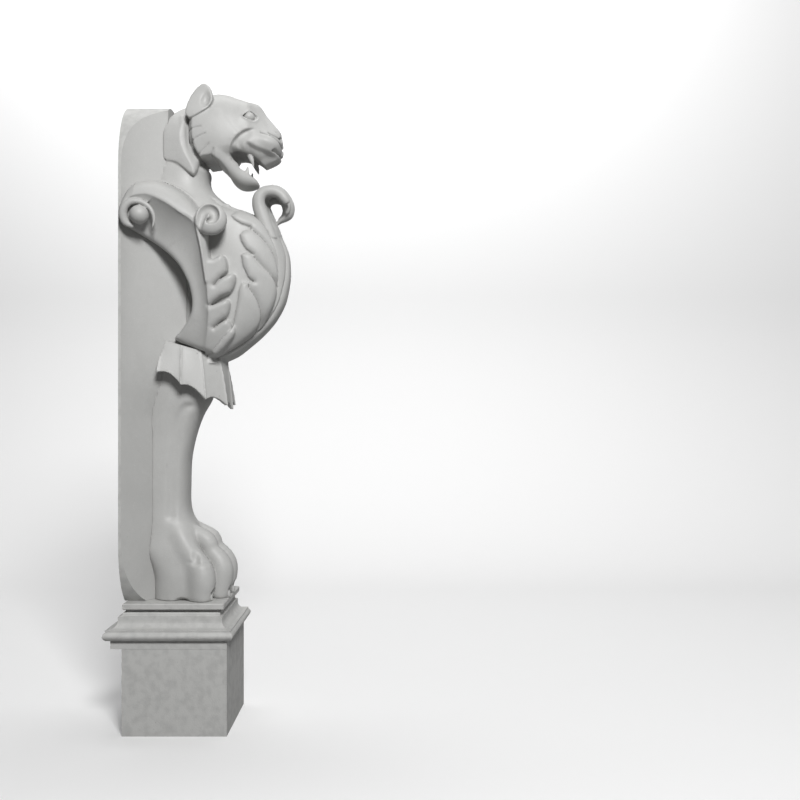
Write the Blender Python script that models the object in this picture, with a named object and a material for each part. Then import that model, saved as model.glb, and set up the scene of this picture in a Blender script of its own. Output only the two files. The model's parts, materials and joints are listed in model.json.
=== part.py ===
"""A big cat monopodium on a square moulded pillar, backed by a tall arched slab.

The frame has its origin at the centre of the pillar's underside. The figure looks along -Y,
the slab's flat back looks along +Y and +Z is up. The work is symmetric about the plane X = 0.
Sizes below are in millimetres, and MM turns them into the scene's metres.
"""
import math
from dataclasses import dataclass, field
from typing import Callable, Sequence

import bmesh
import bpy
import numpy as np

Array = np.ndarray
Form = Callable[[Array, Array, Array], Array]
Side = Callable[[Array, Array], Array]
Box = tuple[tuple[float, float], tuple[float, float], tuple[float, float]]
Rows = Sequence[Sequence[float]]

MM = 0.001
GAP = 0.3

# Pillar
DIE_HALF = 90.0
DIE_HEIGHT = 149.2
LIP_BACK = 109.4
LIP_TOP = 164.8
CAP_BACK_SHIFT = 19.4
CAP_TOP = 225.1
ABACUS_HALF = 81.3
ABACUS_FRONT = -82.9
ABACUS_BACK = 91.7
ABACUS_FOOT = 214.4
ARRIS = 1.6

# Back slab
SLAB_BACK = 94.6
SLAB_EDGE = 5.0
SLAB_HALF = 95.0
ARCH_CENTRE_X = 20.0
ARCH_REACH_X = 75.0
ARCH_REACH_Z = 115.0
ARCH_TOP_Z = 978.0
ARCH_LOW_Z = 328.0
SLAB_ROWS_BETWEEN = 14
SLAB_ROWS_ARCH = 7
SLAB_COLUMNS = 9

# Figure
CELL = 2.6
FIGURE_TRIANGLES = 8400
FIGURE_LOW = (0.0, -206.0, 216.0)
FIGURE_HIGH = (134.0, 100.0, 1138.0)


def blend(value: Array, low: float, high: float) -> Array:
    """Smooth step from 0 at low to 1 at high."""
    t = np.clip((value - low) / (high - low), 0.0, 1.0)
    return t * t * (3.0 - 2.0 * t)


def soft_min(a: Array, b: Array, radius: float) -> Array:
    """Join two fields.

    Args:
        a: First field.
        b: Second field.
        radius: Size of the fillet between them.

    Returns:
        The smaller field with a fillet.
    """
    h = np.maximum(radius - np.abs(a - b), 0.0) / radius
    return np.minimum(a, b) - h * h * radius * 0.25


def soft_max(a: Array, b: Array, radius: float) -> Array:
    """Larger of two fields, with a rounded edge of the given radius."""
    return -soft_min(-a, -b, radius)


def smooth_line(points: Rows, steps: int = 5, closed: bool = False) -> Array:
    """Sample a smooth curve.

    Args:
        points: Points that the curve goes through.
        steps: Samples for each span.
        closed: Whether the last point joins the first.

    Returns:
        Points of a Catmull-Rom curve.
    """
    p = np.asarray(points, float)
    n = len(p)
    out = []
    for i in range(n if closed else n - 1):
        if closed:
            a, b, c, d = (p[(i + k - 1) % n] for k in range(4))
        else:
            a, b, c, d = p[max(i - 1, 0)], p[i], p[i + 1], p[min(i + 2, n - 1)]
        for s in range(steps):
            t = s / steps
            out.append(0.5 * (2 * b + (c - a) * t + (2 * a - 5 * b + 4 * c - d) * t * t
                              + (3 * b - a - 3 * c + d) * t ** 3))
    if not closed:
        out.append(p[-1])
    return np.array(out)


def through(table: Rows, at: Array) -> list[Array]:
    """Columns of a table read along a smooth curve, with column 0 as the place."""
    curve = smooth_line(sorted(table), 6)
    return [np.interp(at, curve[:, 0], curve[:, k]) for k in range(1, curve.shape[1])]


def line_distance(u: Array, v: Array, line: Array) -> tuple[Array, Array]:
    """Measure the way to an open line in a plane.

    Args:
        u: First coordinate.
        v: Second coordinate.
        line: Rows of u, v and one more value carried along the line.

    Returns:
        Distance to the line, and the value at its nearest point.
    """
    near = np.full(np.broadcast(u, v).shape, 1e9)
    value = np.zeros(near.shape)
    for a, b in zip(line[:-1], line[1:]):
        du, dv = b[0] - a[0], b[1] - a[1]
        t = np.clip(((u - a[0]) * du + (v - a[1]) * dv) / (du * du + dv * dv + 1e-9), 0.0, 1.0)
        gap = (u - a[0] - t * du) ** 2 + (v - a[1] - t * dv) ** 2
        closer = gap < near
        near = np.where(closer, gap, near)
        value = np.where(closer, a[2] + t * (b[2] - a[2]), value)
    return np.sqrt(near), value


def loop_distance(u: Array, v: Array, loop: Array) -> Array:
    """Signed distance from (u, v) to a closed loop, negative inside."""
    near = np.full(np.broadcast(u, v).shape, 1e9)
    inside = np.zeros(near.shape, bool)
    for (au, av), (bu, bv) in zip(loop, np.roll(loop, -1, axis=0)):
        du, dv = bu - au, bv - av
        t = np.clip(((u - au) * du + (v - av) * dv) / (du * du + dv * dv + 1e-9), 0.0, 1.0)
        near = np.minimum(near, (u - au - t * du) ** 2 + (v - av - t * dv) ** 2)
        if abs(dv) > 1e-9:
            inside ^= ((av > v) != (bv > v)) & (u < au + (v - av) * du / dv)
    near = np.sqrt(near)
    return np.where(inside, -near, near)


def egg(centre: Sequence[float], radii: Sequence[float], turn: float = 0.0, power: float = 2.0) -> Form:
    """Ellipsoid form.

    Args:
        centre: Middle point.
        radii: Half sizes.
        turn: Degrees that it is turned in the side view.
        power: 2 for an ellipsoid, more for a boxier one.

    Returns:
        Its field.
    """
    c, s = math.cos(math.radians(turn)), math.sin(math.radians(turn))

    def form(x: Array, y: Array, z: Array) -> Array:
        """Field of the ellipsoid."""
        u, v = y - centre[1], z - centre[2]
        q = (np.abs((x - centre[0]) / radii[0]) ** power
             + np.abs((u * c + v * s) / radii[1]) ** power
             + np.abs((v * c - u * s) / radii[2]) ** power) ** (1.0 / power)
        return (q - 1.0) * min(radii)
    return form


def limb(points: Rows, flat: float = 1.0) -> Form:
    """Chain of round cones.

    Args:
        points: Rows of x, y, z and radius.
        flat: How much wider than deep the limb is across X.

    Returns:
        Its field.
    """
    rows = np.asarray(points, float)

    def form(x: Array, y: Array, z: Array) -> Array:
        """Field of the chain."""
        best = None
        for a, b in zip(rows[:-1], rows[1:]):
            d = b[:3] - a[:3]
            t = np.clip(((x - a[0]) * d[0] + (y - a[1]) * d[1] + (z - a[2]) * d[2]) / (d @ d), 0.0, 1.0)
            gap = np.sqrt(((x - a[0] - t * d[0]) / flat) ** 2 + (y - a[1] - t * d[1]) ** 2
                          + (z - a[2] - t * d[2]) ** 2) - (a[3] + t * (b[3] - a[3]))
            best = gap if best is None else np.minimum(best, gap)
        return best
    return form


def tower(table: Rows, power: float = 2.0) -> Form:
    """Upright body from rows of z, front y, back y and half width, smoothly joined."""
    def form(x: Array, y: Array, z: Array) -> Array:
        """Field of the body."""
        front, back, half = through(table, z)
        reach = (back - front) / 2
        q = (np.abs(x / half) ** power
             + np.abs((y - (front + back) / 2) / reach) ** power) ** (1.0 / power)
        return np.maximum((q - 1.0) * np.minimum(half, reach), np.maximum(table[0][0] - z, z - table[-1][0]))
    return form


def loft(table: Rows) -> Form:
    """Body that runs along Y.

    Args:
        table: Rows of y, top z, low z, widest z, half width, fullness above and below the widest height.

    Returns:
        Its field.
    """
    rows = sorted(table)

    def form(x: Array, y: Array, z: Array) -> Array:
        """Field of the body."""
        top, low, wide, half, above, below = through(rows, y)
        rise = np.where(z > wide, (z - wide) / (top - wide), (wide - z) / (wide - low))
        power = np.where(z > wide, above, below)
        q = (np.abs(x / half) ** power + rise ** power) ** (1.0 / power)
        side = (q - 1.0) * np.minimum(half, (top - low) / 2)
        return np.maximum(side, np.maximum(rows[0][0] - y, y - rows[-1][0]))
    return form


def plate(loop: Array, inner: Side | float, outer: Side, edge: float) -> Form:
    """Side-view loop carried across X.

    Args:
        loop: Outline in y and z.
        inner: X of its inner face.
        outer: X of its outer face over y and z.
        edge: Rounding of the outer edge.

    Returns:
        Its field.
    """
    def form(x: Array, y: Array, z: Array) -> Array:
        """Field of the plate."""
        face = outer(y, z) + 0.0 * (y + z)
        across = np.gradient(face, y.ravel(), axis=1)
        up = np.gradient(face, z.ravel(), axis=2)
        flat = soft_max(loop_distance(y, z, loop), (x - face) / np.sqrt(1.0 + across ** 2 + up ** 2), edge)
        return np.maximum(flat, (inner(y, z) if callable(inner) else inner) - x)
    return form


def furrow(points: Rows, depth: float, width: float, front: bool = False) -> Form:
    """Carved line of even depth, drawn in the side view or, if front is set, in the front view."""
    line = np.c_[smooth_line(points, 4), np.zeros((len(points) - 1) * 4 + 1)]

    def amount(x: Array, y: Array, z: Array) -> Array:
        """Depth of the furrow."""
        gap = line_distance(x if front else y, z, line)[0]
        return depth * np.exp(-(gap / width) ** 2) + 0.0 * (x + y)
    return amount


def groove(points: Rows, depth: float, width: float) -> Form:
    """Depth of a furrow along a curve of x, y, z points; a negative depth makes a ridge."""
    line = limb(np.c_[smooth_line(points, 4), np.zeros((len(points) - 1) * 4 + 1)])
    return lambda x, y, z: depth * np.exp(-(line(x, y, z) / width) ** 2)


@dataclass
class Clay:
    """Block of clay: a field over the half with X at or above 0, negative inside the form."""

    low: tuple[float, float, float]
    high: tuple[float, float, float]
    cell: float
    axes: list[Array] = field(init=False)
    body: Array = field(init=False)

    def __post_init__(self) -> None:
        """Lay out the grid."""
        self.axes = [np.arange(a, b + self.cell, self.cell) for a, b in zip(self.low, self.high)]
        self.body = np.full([len(a) for a in self.axes], 60.0, np.float32)

    def window(self, box: Box) -> tuple[tuple[slice, ...], list[Array]]:
        """Grid slices and coordinates inside the box."""
        cuts, points = [], []
        for i, (axis, (low, high)) in enumerate(zip(self.axes, box)):
            cut = slice(*np.searchsorted(axis, (low, high)))
            shape = [1, 1, 1]
            shape[i] = -1
            cuts.append(cut)
            points.append(axis[cut].reshape(shape))
        return tuple(cuts), points

    def add(self, form: Form, box: Box, radius: float = 6.0) -> None:
        """Join a form to the clay with a fillet."""
        cut, p = self.window(box)
        self.body[cut] = soft_min(self.body[cut], form(*p), radius)

    def cut(self, form: Form, box: Box, radius: float = 2.0) -> None:
        """Take a form away from the clay."""
        cut, p = self.window(box)
        self.body[cut] = soft_max(self.body[cut], -form(*p), radius)

    def press(self, amount: Form, box: Box) -> None:
        """Sink the surface by an amount, or raise it where the amount is negative."""
        cut, p = self.window(box)
        self.body[cut] += amount(*p)

    def skin(self) -> tuple[Array, Array]:
        """Wrap the clay.

        Returns:
            Vertices and quads of the surface of both halves.
        """
        f = self.settled(np.concatenate([self.body[:0:-1], self.body]))
        xs = np.concatenate([-self.axes[0][:0:-1], self.axes[0]])
        start = np.array([xs[0], self.axes[1][0], self.axes[2][0]])
        inside = f < 0
        corner = [(i, j, k) for i in (0, 1) for j in (0, 1) for k in (0, 1)]
        n = np.array(f.shape) - 1
        count = np.zeros(n, np.uint8)
        for i, j, k in corner:
            count += inside[i:n[0] + i, j:n[1] + j, k:n[2] + k]
        cells = np.argwhere((count > 0) & (count < 8))
        spot = np.zeros((len(cells), 3))
        hits = np.zeros(len(cells))
        for a in corner:
            for axis in range(3):
                if a[axis]:
                    continue
                b = np.array(a)
                b[axis] = 1
                fa = f[tuple((cells + a).T)]
                fb = f[tuple((cells + b).T)]
                hit = (fa < 0) != (fb < 0)
                point = np.tile(np.array(a, float), (hit.sum(), 1))
                point[:, axis] = fa[hit] / (fa[hit] - fb[hit])
                spot[hit] += point
                hits[hit] += 1
        verts = start + (cells + spot / hits[:, None]) * self.cell
        number = np.full(n, -1, np.int32)
        number[tuple(cells.T)] = np.arange(len(cells))
        quads = []
        for axis in range(3):
            here = [slice(1, -1)] * 3
            here[axis] = slice(0, -1)
            there = list(here)
            there[axis] = slice(1, None)
            one, two = inside[tuple(here)], inside[tuple(there)]
            where = np.argwhere(one != two)
            solid = one[tuple(where.T)]
            base = where + [0 if i == axis else 1 for i in range(3)]
            u, v = (axis + 1) % 3, (axis + 2) % 3
            ring = []
            for du, dv in ((-1, -1), (0, -1), (0, 0), (-1, 0)):
                c = base.copy()
                c[:, u] += du
                c[:, v] += dv
                ring.append(number[tuple(c.T)])
            stacked = np.array(ring).T
            quads.append(np.where(solid[:, None], stacked, stacked[:, ::-1]))
        return self.largest_shell(verts, np.concatenate(quads))

    @staticmethod
    def settled(f: Array) -> Array:
        """Field with a clear border and no two parts of the clay that touch only at an edge or corner."""
        for axis in range(3):
            for end in (0, -1):
                np.moveaxis(f, axis, 0)[end] = np.maximum(np.moveaxis(f, axis, 0)[end], 1.0)
        head, tail = slice(None, -1), slice(1, None)
        for _ in range(12):
            inside = f < 0
            changed = False
            for axis in range(3):
                s, g = np.moveaxis(inside, axis, 0), np.moveaxis(f, axis, 0)
                a, b, c, d = s[:, :-1, :-1], s[:, 1:, :-1], s[:, :-1, 1:], s[:, 1:, 1:]
                for one, two, cut in ((a & d & ~b & ~c, (tail, head), (head, tail)),
                                      (b & c & ~a & ~d, (head, head), (tail, tail))):
                    if one.any():
                        changed = True
                        p, q = g[(slice(None),) + two], g[(slice(None),) + cut]
                        p[one & (p <= q)] = -0.05
                        q[one & (p > q)] = -0.05
            inside = f < 0
            for i, j in ((0, 0), (0, 1), (1, 0), (1, 1)):
                near = (slice(0, -1), slice(i, -1 + i or None), slice(j, -1 + j or None))
                far = (slice(1, None), slice(1 - i, -i or None), slice(1 - j, -j or None))
                count = sum(inside[a:a - 1 or None, b:b - 1 or None, c:c - 1 or None].astype(np.uint8)
                            for a in (0, 1) for b in (0, 1) for c in (0, 1))
                lone = (count == 2) & inside[near] & inside[far] | (count == 6) & ~inside[near] & ~inside[far]
                if lone.any():
                    changed = True
                    f[:-1, :-1, :-1][lone] = -0.05
                    f[1:, :-1, :-1][lone] = -0.05
                    f[:-1, 1:, :-1][lone] = -0.05
                    f[1:, 1:, :-1][lone] = -0.05
                    inside = f < 0
            if not changed:
                break
        return f

    @staticmethod
    def largest_shell(verts: Array, quads: Array) -> tuple[Array, Array]:
        """Only the largest connected shell of a mesh."""
        label = np.arange(len(verts))
        while True:
            before = label.copy()
            low = label[quads].min(axis=1)
            for k in range(4):
                np.minimum.at(label, quads[:, k], low)
            label = label[label]
            if (label == before).all():
                break
        best = np.bincount(label[quads[:, 0]]).argmax()
        quads = quads[label[quads[:, 0]] == best]
        used, flat = np.unique(quads, return_inverse=True)
        return verts[used], flat.reshape(quads.shape)


@dataclass
class Leg:
    """Straight lower leg with a soft shin line. Rows are z, front, back and half width."""

    rows: Rows = (
        (216, -30, 47, 48), (273, -30, 48, 50), (306, -34, 64, 50), (340, -30, 70, 49),
        (365, -14, 72, 47), (389, -8, 74, 46), (427, -8, 76, 45.5), (472, -10, 76, 46),
        (513, -18.6, 74, 47), (548, -31, 72, 50), (585, -50, 68, 53), (650, -62, 58, 56))
    shin: Rows = ((30, -24, 570), (44, -11, 564), (47, -1, 548), (47, 7, 519), (45, 9, 492),
                  (44, 15, 448), (44, 15, 405), (46, 17, 372))

    def model(self, clay: Clay) -> None:
        """Add the leg to the clay."""
        clay.add(tower(self.rows, 2.8), ((0, 80), (-90, 85), (216, 650)), 4)
        clay.press(groove(self.shin, 4.0, 8), ((0, 70), (-60, 50), (360, 600)))


@dataclass
class Paw:
    """Broad paw: heel, two toes a side with claws, and the dent between toes and heel."""

    heel: Rows = ((216, -50, 52, 58), (240, -58, 51, 62), (262, -60, 51, 63), (280, -56, 56, 62),
                  (312, -36, 70, 57), (335, -18, 68, 50), (360, 0, 62, 41), (385, 14, 50, 32))
    inner_toe: Rows = ((13, 4, 356, 10), (17, -20, 340, 14), (19, -42, 325, 16.5), (20, -50, 308, 15.5),
                       (21, -64, 290, 18.5), (22, -70, 273, 20), (22, -69, 254, 19.5), (22, -66, 236, 18))
    outer_toe: Rows = ((38, 2, 338, 12), (45, -14, 314, 15), (50, -29, 296, 17), (53, -39, 277, 21),
                       (54, -42, 257, 22), (54, -40, 236, 20))
    dent: Rows = ((66, -19, 294), (68, -36, 291), (62, -53, 292))

    def model(self, clay: Clay) -> None:
        """Add the paw to the clay."""
        clay.add(tower(self.heel, 3.0), ((0, 90), (-90, 80), (216, 385)), 8)
        for toe, fillet in ((self.outer_toe, 14), (self.inner_toe, 3)):
            clay.add(limb(smooth_line(toe, 3)), ((0, 90), (-110, 25), (216, 380)), fillet)
            x, y = toe[-1][0], toe[-1][1]
            clay.cut(egg((x, y - 18, 238), (9, 8, 11)), ((x - 14, x + 14), (y - 34, y), (222, 256)), 1)
            claw = limb([(x, y - 6, 240, 6), (x, y - 13, 233, 6), (x, y - 15, 222, 5)])
            clay.add(claw, ((x - 12, x + 12), (y - 30, y + 6), (216, 252)), 0.5)
        clay.cut(egg((71, -32, 307), (11, 8, 15)), ((48, 90), (-60, 5), (280, 335)), 5)
        clay.press(groove(self.dent, 1.6, 3.0), ((48, 90), (-70, -5), (280, 305)))
        clay.cut(egg((64, -6, 221), (16, 14, 10)), ((36, 95), (-30, 20), (208, 240)), 3)


@dataclass
class Skirt:
    """Fluted collar above the leg: flat flutes between ridges that end in points."""

    bearing: Sequence[float] = (-90, -65.6, -38.2, -9.9, 17.6, 46)
    top_reach: Sequence[float] = (77, 75, 67, 64, 63, 64)
    low_reach: Sequence[float] = (90, 96.5, 89.5, 85, 88, 90)
    top_z: Sequence[float] = (646, 646, 655, 664, 673, 680)
    low_z: Sequence[float] = (559, 565.5, 576, 601.5, 623.5, 640)
    dip: float = 4.5
    bead: float = 1.8

    def mantle(self, x: Array, y: Array, z: Array, slim: float = 0.0) -> Array:
        """Field of the fluted body, slimmed all round by slim."""
        bearing = np.array(self.bearing)
        angle = np.degrees(np.arctan2(y - 5.0, x))
        flute = np.clip(np.searchsorted(bearing, angle) - 1, 0, len(bearing) - 2)
        part = (angle - bearing[flute]) / (bearing[flute + 1] - bearing[flute])
        dip = 1 - (2 * np.clip(part, 0, 1) - 1) ** 2
        low = np.interp(angle, bearing, self.low_z) + 9 * dip
        high = np.interp(angle, bearing, self.top_z) + 8
        t = np.clip((high - z) / (high - low), 0, 1)
        reach = np.interp(angle, bearing, self.top_reach)
        lower = np.interp(angle, bearing, self.low_reach)
        reach = reach + (lower - reach) * t ** 0.65 - self.dip * dip * t ** 0.6
        near = np.radians(np.minimum(part, 1 - part) * (bearing[flute + 1] - bearing[flute])) * reach
        reach = reach + self.bead * np.exp(-(near / 1.4) ** 2)
        ends = np.maximum(np.maximum((low - z) * 0.9, z - high), y - 35.6 + 0.24 * (z - 624.0))
        return np.maximum((np.hypot(x, y - 5.0) - reach + slim) * 0.95, ends)

    def model(self, clay: Clay) -> None:
        """Add the skirt to the clay."""
        box = ((0, 110), (-110, 95), (545, 705))
        apart = Clay(clay.low, clay.high, clay.cell)
        apart.add(self.mantle, box, 1)
        apart.cut(lambda x, y, z: np.maximum(self.mantle(x, y, z + 10, 7.0), z - 612 - 0.4 * (y + 60)), box,
                  1)
        cut, _ = apart.window(box)
        clay.body[cut] = soft_min(clay.body[cut], apart.body[cut], 2.5)


@dataclass
class Chest:
    """Swelling chest with a slanting underside, and the neck above it."""

    barrel: Rows = (
        (636, -60, 20, 30), (646, -79, 20, 44), (655, -97, 20, 54), (670.5, -117, 20, 62),
        (689.5, -139, 20, 69), (710, -158, 20, 73), (731, -172, 20, 75), (753, -182, 20, 76.5),
        (781, -188, 20, 77), (803.5, -190, 20, 77), (838, -187, 20, 77), (871, -173, 20, 75),
        (889, -160, 20, 73), (904, -135, 20, 68), (916, -105, 20, 60))
    slab_half: float = 95.0
    slab_face: float = 89.6
    neck: Rows = (
        (890, -112, 70, 74), (905, -104, 70, 71), (914, -92.5, 70, 68), (926, -78, 70, 64.5),
        (937, -64, 70, 61.5), (950, -51, 70, 59), (961, -45, 70, 57.5), (972, -43.5, 70, 56.5),
        (982, -45, 70, 55.5), (992, -45, 68, 54), (999, -45, 66, 53))
    fullness: float = 2.05

    def model(self, clay: Clay) -> None:
        """Add chest and neck to the clay."""
        round_body = tower(self.barrel, self.fullness)

        def spine(x: Array, y: Array, z: Array) -> Array:
            """Way to the slab's front face carried on to the chest, and sunk into the slab behind."""
            inset = self.slab_half - x
            face = self.slab_face - 0.75 * inset - 0.0185 * inset * inset
            return (face - y) * 0.5 + 2.0 * blend(y, -20.0, -5.0) + 0.0 * z

        def body(x: Array, y: Array, z: Array) -> Array:
            """Barrel cut off on a slant, and kept inside the spine behind the shoulder's shell."""
            kept = np.minimum(y + 46.0, spine(x, y, z))
            return np.maximum(soft_max(round_body(x, y, z), 640.5 + 0.41 * (y + 80) - z, 8), kept)
        clay.add(body, ((0, 90), (-206, 30), (630, 925)), 5)
        clay.add(lambda x, y, z: np.maximum(spine(x, y, z), np.maximum(-60.0 - y, np.abs(z - 780.0) - 125.0)),
                 ((0, 95), (-62, 70), (654, 906)), 2)
        column = tower(self.neck, 2.7)
        clay.add(lambda x, y, z: soft_max(column(x, y, z), z - 994.5 - 40 * blend(y, -24.0, -8.0), 16),
                 ((0, 90), (-130, 85), (890, 1000)), 5)


@dataclass
class Shoulder:
    """Shoulder cape with its rim, the boss, the cove behind, side lobes, and the front roll."""

    cape_top: Rows = ((-60, 893), (-45, 905), (-39, 912), (-28.7, 924), (-15.7, 936), (0, 946), (14.4, 952.5),
                      (27.4, 957), (49.6, 957.5), (65, 956), (75.7, 950), (84, 938), (92, 915))
    cape_rim: Rows = ((-60, 860), (-45, 868), (-32, 881), (-14, 892.4), (5, 906.6), (24.5, 917), (40, 922.7),
                      (50, 922), (63, 919.5), (75, 908), (92, 890))
    ridge: Rows = ((92, 886, 112), (84, 903, 115), (76, 914, 116.5), (63, 920.5, 117.5), (50, 923, 118),
                   (40, 922.7, 118),
                   (24.5, 917, 118), (5, 906.6, 118), (-14, 892.4, 117), (-32, 880, 115.5), (-42, 866, 114),
                   (-46, 855, 113),
                   (-49, 839, 111), (-52, 820, 109), (-54.4, 800, 106), (-57, 778.6, 103.5), (-58.5, 750, 99),
                   (-58, 720, 92), (-54, 690, 83), (-48, 660, 70))
    back_edge: Rows = ((90.8, 894, 108), (87.5, 881, 102), (79, 871.5, 97), (68.6, 865, 93), (56.7, 858, 86),
                       (39.8, 848, 83),
                       (21.8, 835, 86), (5.2, 820.5, 89.5), (-8.3, 804.5, 91.5), (-20, 782, 92), (-24.4, 770,
                                                                                                  91.5),
                       (-28, 747.6, 89), (-25.6, 728, 85.5), (-16.8, 711, 79.5), (-3.7, 695, 72.5), (8, 682,
                                                                                                     64))
    outline: Rows = (
        (90.5, 904), (88, 920), (84, 936), (76, 950), (65, 957), (49.6, 959), (27.4, 958), (14.4, 954), (0,
                                                                                                         948),
        (-15.7, 938), (-28.7, 926), (-39, 912), (-50, 890), (-57, 862), (-57.5, 844), (-58.7, 829), (-62.7,
                                                                                                     817),
        (-72, 819.5), (-80.7, 824.5), (-88, 818), (-90.5, 797), (-80, 786), (-69, 773), (-82, 786), (-98.6,
                                                                                                     793.5),
        (-104.4, 786), (-102, 773), (-95.4, 760), (-78, 752), (-61, 738), (-78, 745), (-88, 749), (-94.5,
                                                                                                   743),
                                                                                                   (-92, 727),
        (-87, 718), (-77, 711), (-66, 701), (-79, 711), (-89, 715), (-95.3, 706), (-95.3, 693), (-87, 680),
        (-64, 658), (-48, 660), (-18.6, 670), (8, 682), (-3.7, 695), (-16.8, 711), (-25.6, 728), (-28, 747.6),
        (-24.4, 770), (-20, 782), (-8.3, 804.5), (5.2, 820.5), (21.8, 835), (39.8, 848), (56.7, 858),
        (68.6, 865), (80, 872), (87.5, 881), (90.8, 894))
    stem: Rows = ((122, -43, 890), (120, -42.7, 876), (114, -45, 858), (112, -49, 839), (109, -52, 820),
                  (106, -54.4, 800),
                  (103, -57, 779))
    roll: Rows = ((114, -67, 881, 27.5), (92, -68, 884, 22.5), (66, -70, 893, 12), (44, -72, 902, 4))
    channel: Rows = ((125, -47, 858, 3), (126, -50, 870, 5.5), (127, -53, 882, 7.5), (127, -57, 892, 8.5),
                     (127, -65, 897, 8.5), (127, -73, 893, 8), (127, -75.5, 885, 7.5), (126, -72, 878, 6),
                     (125, -66, 876, 4))
    ring: Rows = ((112, 32, 866, 1), (112, 29, 880, 3), (113, 32, 894, 4), (114, 41, 905, 4.5), (115, 54,
                                                                                                 911, 5),
                  (115, 68, 910, 6), (114, 78, 902, 7), (111, 82, 890, 8), (108, 78, 877, 7), (106, 68, 871,
                                                                                               4))
    boss: Sequence[float] = (111, 54.5, 889.5)

    def reach(self, y: Array, z: Array) -> Array:
        """Half width of the side over the side view: a round cape above the rim, a cove behind the ridge."""
        top = np.interp(y, *np.array(sorted(self.cape_top)).T)
        rim = np.interp(y, *np.array(sorted(self.cape_rim)).T)
        t = np.clip((z - rim) / (top - rim), 0.0, 0.97)
        cape = 52 + 66 * np.sqrt(1.0 - t ** 2)
        ridge = smooth_line(self.ridge, 3)
        back = smooth_line(self.back_edge, 3)
        to_ridge, at_ridge = line_distance(y, z, ridge)
        to_back, at_back = line_distance(y, z, back)
        share = to_ridge / (to_ridge + to_back + 1e-6)
        cove = at_ridge + (at_back - at_ridge) * share - 22.0 * share ** 0.8 * (1.0 - share)
        behind = loop_distance(y, z, np.r_[ridge[:, :2], [(-48, 640), (130, 640), (130, 880)]]) < 0
        front = at_ridge - 0.16 * to_ridge - 0.0012 * to_ridge ** 2
        over = (y > -44) & (z > rim)
        return np.where(behind, cove, np.where(over, np.minimum(cape, at_ridge + 1.0), front))

    def model(self, clay: Clay) -> None:
        """Add the shoulder to the clay."""
        clay.add(plate(smooth_line(self.outline, 2, True), 26, self.reach, 11), ((22, 134), (-125, 100),
                                                                                 (630, 962)), 3)
        clay.press(groove(self.stem, -3.4, 3.2), ((90, 134), (-75, -28), (770, 905)))
        box = ((30, 134), (-110, -28), (840, 915))
        roll = limb(smooth_line(self.roll, 3))
        channel = limb(smooth_line(self.channel, 3), 1.3)
        clay.add(lambda x, y, z: soft_max(roll(x, y, z), x - 127.5, 14), box, 3)
        clay.cut(channel, ((108, 134), (-86, -38), (852, 910)), 2.5)
        clay.cut(egg((122, 54.5, 889), (18, 21.5, 21.5)), ((95, 134), (28, 84), (862, 916)), 2)
        clay.add(limb(smooth_line(self.ring, 3)), ((90, 134), (15, 98), (855, 925)), 3)
        clay.add(egg(self.boss, (17, 16.5, 16.5)), ((88, 134), (32, 78), (866, 912)), 0.8)


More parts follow.
